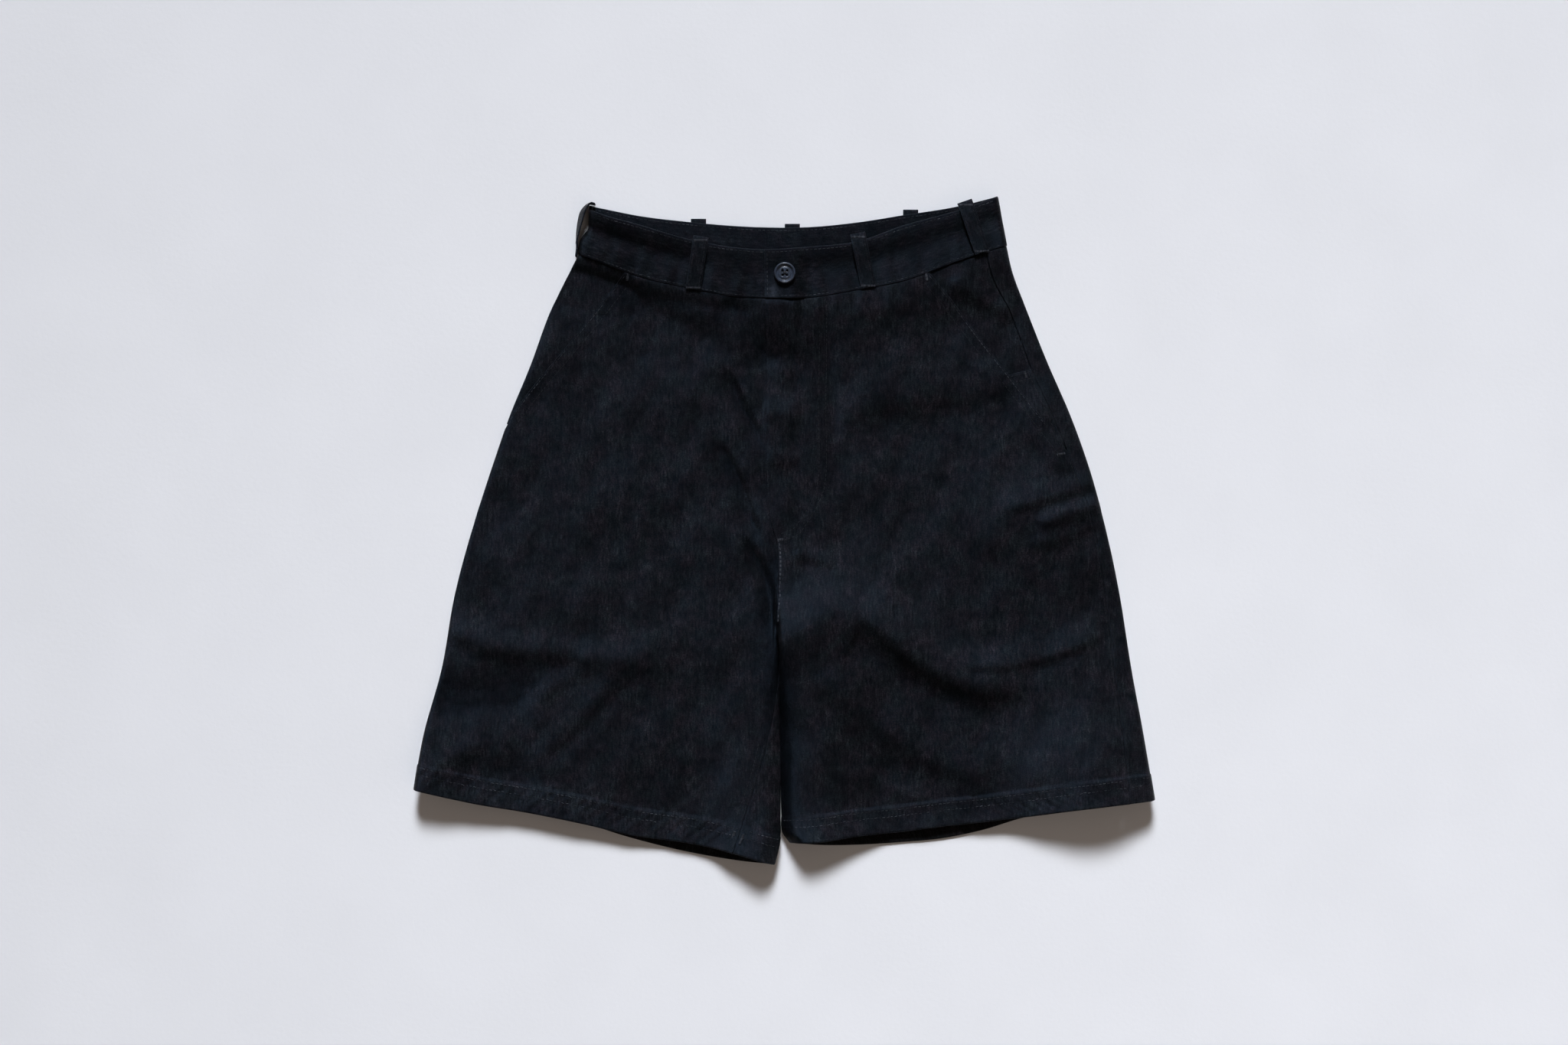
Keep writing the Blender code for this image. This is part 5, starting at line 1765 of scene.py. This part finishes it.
# Kinds of noise: blobs per metre, detail, roughness, stretch along each axis, and a shift, so that
# no two of them agree
EVENLY = (1.0, 1.0, 1.0)
Noise = namedtuple("Noise", "scale detail roughness stretch shift", defaults=(2.0, 0.5, EVENLY, 0.0))
SLUBS = Noise(1.0, 4.0, 0.62, (640.0, 150.0, 1.0))
STREAKS = Noise(1.0, 3.0, 0.55, (230.0, 24.0, 1.0), 3.1)
BLOTCHES = Noise(30.0, 3.0, 0.60)
PATCHES = Noise(85.0, 3.0, 0.62, shift=7.0)
GRIT = Noise(820.0, 2.0, 0.7, shift=5.0)
CASTS = Noise(62.0, 3.0, 0.60, shift=9.0)
SPECKS = Noise(1300.0, 1.0, 0.5, shift=1.7)
WOBBLE = Noise(260.0)
RUBBING = Noise(210.0, 3.0, 0.6, shift=2.3)
FUZZ = Noise(2600.0)
STRANDS = Noise(3200.0)
CLOUDS = Noise(420.0, 3.0, 0.6)
FLOOR_MOTTLE = Noise(9.0, 3.0)
FLOOR_GRAIN = Noise(240.0, 4.0, 0.6)

# How far each kind of noise sways the dye's tone, and how much each raises the cloth's relief
SLUB_SWAY, STREAK_SWAY, BLOTCH_SWAY, PATCH_SWAY, GRIT_SWAY, WEAVE_SWAY = 0.70, 0.24, 0.32, 0.38, 0.62, 0.14
SLUB_RELIEF, GRIT_RELIEF, WEAVE_RELIEF, PATCH_RELIEF = 1.3, 0.7, 0.45, 2.4

# Limits between which a noise's value is spread out
NOISE_HALF = 0.15
CAST_LIMITS = (0.40, 0.60)
SPECK_LIMITS = (0.68, 0.76)
RUBBING_LIMITS = (0.34, 0.66)
WIDE_LIMITS = (0.2, 0.8)
MIDDLE_LIMITS = (0.3, 0.7)

SPECK_SHARE = 0.6
RUBBED_SHARE = 0.20
WEFT_SHARE = 0.4
THREAD_SHADES = (0.75, 1.15)
FLOOR_SHADES = (0.985, 1.015)
TWILL_PITCH = 0.00105
TWILL_SLANT = 1.25
TWILL_WOBBLE = 0.7

# How high each surface's relief is
CLOTH_RELIEF = 0.00030
THREAD_RELIEF = 0.00008
BUTTON_THREAD_RELIEF = 0.00010
BUTTON_RELIEF = 0.00004
FLOOR_RELIEF = 0.00012


def surface(name, roughness, specular):
    """A new material with its shader, whose plain numbers are set here."""
    material = bpy.data.materials.new(name)
    material.use_nodes = True
    shader = material.node_tree.nodes["Principled BSDF"]
    shader.inputs["Roughness"].default_value = roughness
    shader.inputs["Specular IOR Level"].default_value = specular
    return material, material.node_tree, shader


def put(tree, kind, inputs, output=0, **settings):
    """Adds a node, fills its inputs with plain values or other outputs, and gives its output."""
    node = tree.nodes.new(kind)
    for key, value in settings.items():
        setattr(node, key, value)
    for key, value in inputs.items():
        if isinstance(value, bpy.types.NodeSocket):
            tree.links.new(value, node.inputs[key])
        else:
            node.inputs[key].default_value = value
    return node.outputs[output]


def add(tree, first, second):
    return put(tree, "ShaderNodeMath", {0: first, 1: second}, operation="ADD")


def times(tree, first, second):
    return put(tree, "ShaderNodeMath", {0: first, 1: second}, operation="MULTIPLY")


def span(tree, value, low, high, to_low=0.0, to_high=1.0):
    """A value's place between two limits, as a place between two others."""
    inputs = {"Value": value, "From Min": low, "From Max": high, "To Min": to_low, "To Max": to_high}
    return put(tree, "ShaderNodeMapRange", inputs)


def blend(tree, share, first, second, way="MIX"):
    first, second = (
        value if isinstance(value, bpy.types.NodeSocket) else (*value, 1.0) for value in (first, second)
    )
    inputs = {"Fac": share, "Color1": first, "Color2": second}
    return put(tree, "ShaderNodeMixRGB", inputs, blend_type=way)


def noise(tree, where, kind):
    """One kind of noise, over the given coordinates."""
    shift = (kind.shift, kind.shift, kind.shift)
    mapped = put(tree, "ShaderNodeMapping", {"Vector": where, "Scale": kind.stretch, "Location": shift})
    inputs = {"Vector": mapped, "Scale": kind.scale, "Detail": kind.detail, "Roughness": kind.roughness}
    return put(tree, "ShaderNodeTexNoise", inputs)


def mark(tree, name):
    """A mark of the mesh's points."""
    return put(tree, "ShaderNodeAttribute", {}, output=2, attribute_name=name)


def grain_of(tree):
    """The cloth's own coordinates."""
    return put(tree, "ShaderNodeUVMap", {}, uv_map="grain")


def place_of(tree):
    """The object's own coordinates."""
    return put(tree, "ShaderNodeTexCoord", {}, output=3)


def weave(tree, grain):
    """The twill's fine diagonal: 1 on a warp thread, 0 between."""
    across, along, _ = (put(tree, "ShaderNodeSeparateXYZ", {0: grain}, output=k) for k in range(3))
    slant = add(tree, times(tree, across, TWILL_SLANT), along)
    slant = add(tree, slant, times(tree, noise(tree, grain, WOBBLE), TWILL_PITCH * TWILL_WOBBLE))
    turns = times(tree, slant, 2 * math.pi / TWILL_PITCH)
    return span(tree, put(tree, "ShaderNodeMath", {0: turns}, operation="SINE"), -1.0, 1.0)


def sway(tree, value, reach):
    """A factor that follows noise, from 1 less the reach to 1 more."""
    return span(tree, value, 0.5 - NOISE_HALF, 0.5 + NOISE_HALF, 1 - reach, 1 + reach)


def indigo(tree, grain):
    """Dyed warp: slubs along it, soft blotches of teal and plum, and pale specks of weft."""
    slubs, streaks, blotches, patches, grit = (
        noise(tree, grain, kind) for kind in (SLUBS, STREAKS, BLOTCHES, PATCHES, GRIT)
    )
    tone = sway(tree, slubs, SLUB_SWAY)
    for value, reach in (
        (streaks, STREAK_SWAY), (blotches, BLOTCH_SWAY), (patches, PATCH_SWAY), (grit, GRIT_SWAY),
    ):
        tone = times(tree, tone, sway(tree, value, reach))
    tone = times(tree, tone, span(tree, weave(tree, grain), 0.0, 1.0, 1 - WEAVE_SWAY, 1 + WEAVE_SWAY))
    cast = span(tree, noise(tree, grain, CASTS), *CAST_LIMITS)
    dye = blend(tree, 1.0, INDIGO, blend(tree, cast, TEAL_CAST, PLUM_CAST), "MULTIPLY")
    colour = blend(tree, 1.0, dye, tone, "MULTIPLY")
    specks = span(tree, noise(tree, grain, SPECKS), *SPECK_LIMITS)
    return blend(tree, times(tree, specks, SPECK_SHARE), colour, SPECK), slubs, grit, patches


def rubbed(tree, grain, colour):
    """Paler where an edge has rubbed, in an uneven way."""
    patchy = span(tree, noise(tree, grain, RUBBING), *RUBBING_LIMITS)
    share = times(tree, times(tree, mark(tree, "wear"), patchy), RUBBED_SHARE)
    return blend(tree, share, colour, WORN)


def finish(tree, shader, colour, height, distance):
    """The surface's colour, and its relief of so great a height."""
    tree.links.new(colour, shader.inputs["Base Color"])
    bump = put(tree, "ShaderNodeBump", {"Strength": 1.0, "Distance": distance, "Height": height})
    tree.links.new(bump, shader.inputs["Normal"])


def denim(name, depth):
    """Raw dark indigo denim, right side out. A depth under 1 is darker and duller."""
    material, tree, shader = surface(name, roughness=0.50, specular=DENIM_GLOSS * depth)
    shader.inputs["Specular Tint"].default_value = GLOSS_TINT
    grain = grain_of(tree)
    colour, slubs, grit, patches = indigo(tree, grain)
    colour = blend(tree, 1.0, colour, (depth, depth, depth), "MULTIPLY")
    # Painted shade: the colour is darkened in troughs and in the valley between the legs
    colour = blend(tree, mark(tree, "painted_shade"), colour, PAINTED_SHADE_TONE, "MULTIPLY")
    height = add(tree, times(tree, slubs, SLUB_RELIEF), times(tree, grit, GRIT_RELIEF))
    height = add(tree, height, times(tree, weave(tree, grain), WEAVE_RELIEF))
    height = add(tree, height, times(tree, patches, PATCH_RELIEF))
    finish(tree, shader, rubbed(tree, grain, colour), height, CLOTH_RELIEF)
    return material


def denim_inside():
    """The wrong side: mostly the undyed weft, but for the turned-up hem, which is right side out."""
    material, tree, shader = surface("denim_inside", roughness=0.85, specular=0.12)
    grain = grain_of(tree)
    colour, slubs, _, _ = indigo(tree, grain)
    pale = blend(tree, weave(tree, grain), WRONG_SIDE, WRONG_SIDE_DARK)
    pale = blend(tree, span(tree, slubs, *WIDE_LIMITS, 0.0, WEFT_SHARE), pale, WRONG_SIDE)
    finish(tree, shader, blend(tree, mark(tree, "hem"), pale, colour), slubs, CLOTH_RELIEF)
    return material


def thread():
    """Beige-grey sewing thread, which catches the light in places."""
    material, tree, shader = surface("thread", roughness=0.60, specular=0.15)
    fuzz = noise(tree, place_of(tree), FUZZ)
    # Thread tone: partly painted highlight and shade, for how much light each stitch catches
    colour = blend(tree, mark(tree, "tone"), THREAD_DARK, THREAD_PALE)
    shade = span(tree, fuzz, *WIDE_LIMITS, *THREAD_SHADES)
    finish(tree, shader, blend(tree, 1.0, colour, shade, "MULTIPLY"), fuzz, THREAD_RELIEF)
    return material


def button_thread_finish():
    """Dark thread of many strands."""
    material, tree, shader = surface("button_thread", roughness=0.6, specular=0.3)
    strands = noise(tree, place_of(tree), STRANDS)
    colour = blend(tree, strands, BUTTON_THREAD_DARK, BUTTON_THREAD_COLOUR)
    finish(tree, shader, colour, strands, BUTTON_THREAD_RELIEF)
    return material


def button_finish():
    """Satin blue-grey button with faint cloudy figure."""
    material, tree, shader = surface("button", roughness=0.34, specular=0.5)
    clouds = noise(tree, place_of(tree), CLOUDS)
    colour = blend(tree, span(tree, clouds, *MIDDLE_LIMITS), BUTTON_DARK, BUTTON_COLOUR)
    finish(tree, shader, colour, clouds, BUTTON_RELIEF)
    return material


def floor_finish():
    """The pale surface under the garment."""
    material, tree, shader = surface("floor", roughness=0.85, specular=0.2)
    where = place_of(tree)
    mottle = span(tree, noise(tree, where, FLOOR_MOTTLE), *MIDDLE_LIMITS, *FLOOR_SHADES)
    colour = blend(tree, 1.0, FLOOR_COLOUR, mottle, "MULTIPLY")
    finish(tree, shader, colour, noise(tree, where, FLOOR_GRAIN), FLOOR_RELIEF)
    return material


# --- Light, floor and camera --------------------------------------------------------------

KEY_PLACE = (0.20, 9.40, 7.80)
KEY_TARGET = (0.40, -0.95, 0.0)
KEY_SIZE = 4.60
KEY_POWER = 99.0
KEY_SPREAD = math.radians(22)
KEY_COLOUR = (0.90, 0.95, 1.03)
FILL_PLACE = (1.30, -1.50, 2.60)
FILL_TARGET = (0.30, -0.30, 0.0)
FILL_SIZE = 2.00
FILL_POWER = 9.0
FILL_SPREAD = math.radians(180)
FILL_COLOUR = (1.0, 0.90, 0.82)
ROOM_COLOUR = (1.0, 0.80, 0.66)
ROOM_STRENGTH = 0.10
FLOOR_HALF = 9.0


def area_light(name, place, target, size, power, spread, colour):
    """A square light that faces its target. A narrow spread makes a soft pool of light."""
    light = bpy.data.lights.new(name, "AREA")
    light.shape = "SQUARE"
    light.size = size
    light.energy = power
    light.spread = spread
    light.color = colour
    lamp = placed(name, light)
    lamp.location = place
    aim = Vector(target) - Vector(place)
    lamp.rotation_euler = aim.to_track_quat("-Z", "Y").to_euler()


def room_light():
    world = bpy.data.worlds.new("room")
    world.use_nodes = True
    sky = world.node_tree.nodes["Background"]
    sky.inputs["Color"].default_value = (*ROOM_COLOUR, 1.0)
    sky.inputs["Strength"].default_value = ROOM_STRENGTH
    bpy.context.scene.world = world


def floor():
    mesh = bpy.data.meshes.new("floor")
    half = FLOOR_HALF
    corners = [(-half, -half, 0), (half, -half, 0), (half, half, 0), (-half, half, 0)]
    mesh.from_pydata(corners, [], [(0, 1, 2, 3)])
    mesh.materials.append(floor_finish())
    placed("floor", mesh)


def camera():
    """Straight down on the middle of the laid garment."""
    lens = bpy.data.cameras.new("camera")
    lens.lens = LENS
    lens.sensor_width = SENSOR
    made = placed("camera", lens)
    made.location = (*VIEW_PLACE, VIEW_LEVEL + VIEW_WIDTH * LENS / SENSOR)
    bpy.context.scene.camera = made


def show_plainly():
    """Colours come out as they are lit, with no film curve."""
    view = bpy.context.scene.view_settings
    view.view_transform = "Standard"
    view.look = "None"


# --- Scene --------------------------------------------------------------------------------


def cloth_pieces():
    """Every piece of cloth, laid in the place of its node."""
    right_side, wrong_side = denim("denim", 1.0), denim_inside()
    band_side = denim("denim_band", BAND_DEPTH_OF_DYE)
    lined = [right_side, wrong_side]
    for side in SIDES:
        for layer, make in ((FRONT, front_panel), (BACK, back_panel)):
            node = f"{side}_{layer}"
            lay(make(side, lined), node)
        node = f"{side}_pocket_facing"
        lay(facing(side, [right_side]), node)
    lay(coin_pocket([right_side]), "coin_pocket")
    lay(waistband([band_side]), "waistband")
    for loop in LOOPS:
        lay(belt_loop(loop, [right_side]), loop.name)
    lay(bowed_loop([right_side]), "loop_side_right")


def sewing_pieces():
    """All the thread but the button's."""
    cotton = thread()
    sewing("sewing_hems", shown("hems", hem_runs()), cotton)
    sewing("sewing_pockets", pocket_runs(), cotton)
    sewing("sewing_fly", shown("fly", fly_runs()), cotton)
    sewing("sewing_legs", leg_runs(), cotton)
    sewing("sewing_rise", shown("rise", rise_runs()), cotton)
    sewing("sewing_band", shown("band", band_runs()), cotton)
    sewing("sewing_loops", shown("loops", loop_runs()), cotton)
    tacks(cotton)


def main():
    show_plainly()
    floor()
    camera()
    room_light()
    area_light("window", KEY_PLACE, KEY_TARGET, KEY_SIZE, KEY_POWER, KEY_SPREAD, KEY_COLOUR)
    area_light("fill", FILL_PLACE, FILL_TARGET, FILL_SIZE, FILL_POWER, FILL_SPREAD, FILL_COLOUR)
    cloth_pieces()
    sewing_pieces()
    waist_button(button_finish())
    button_thread(button_thread_finish())


main()
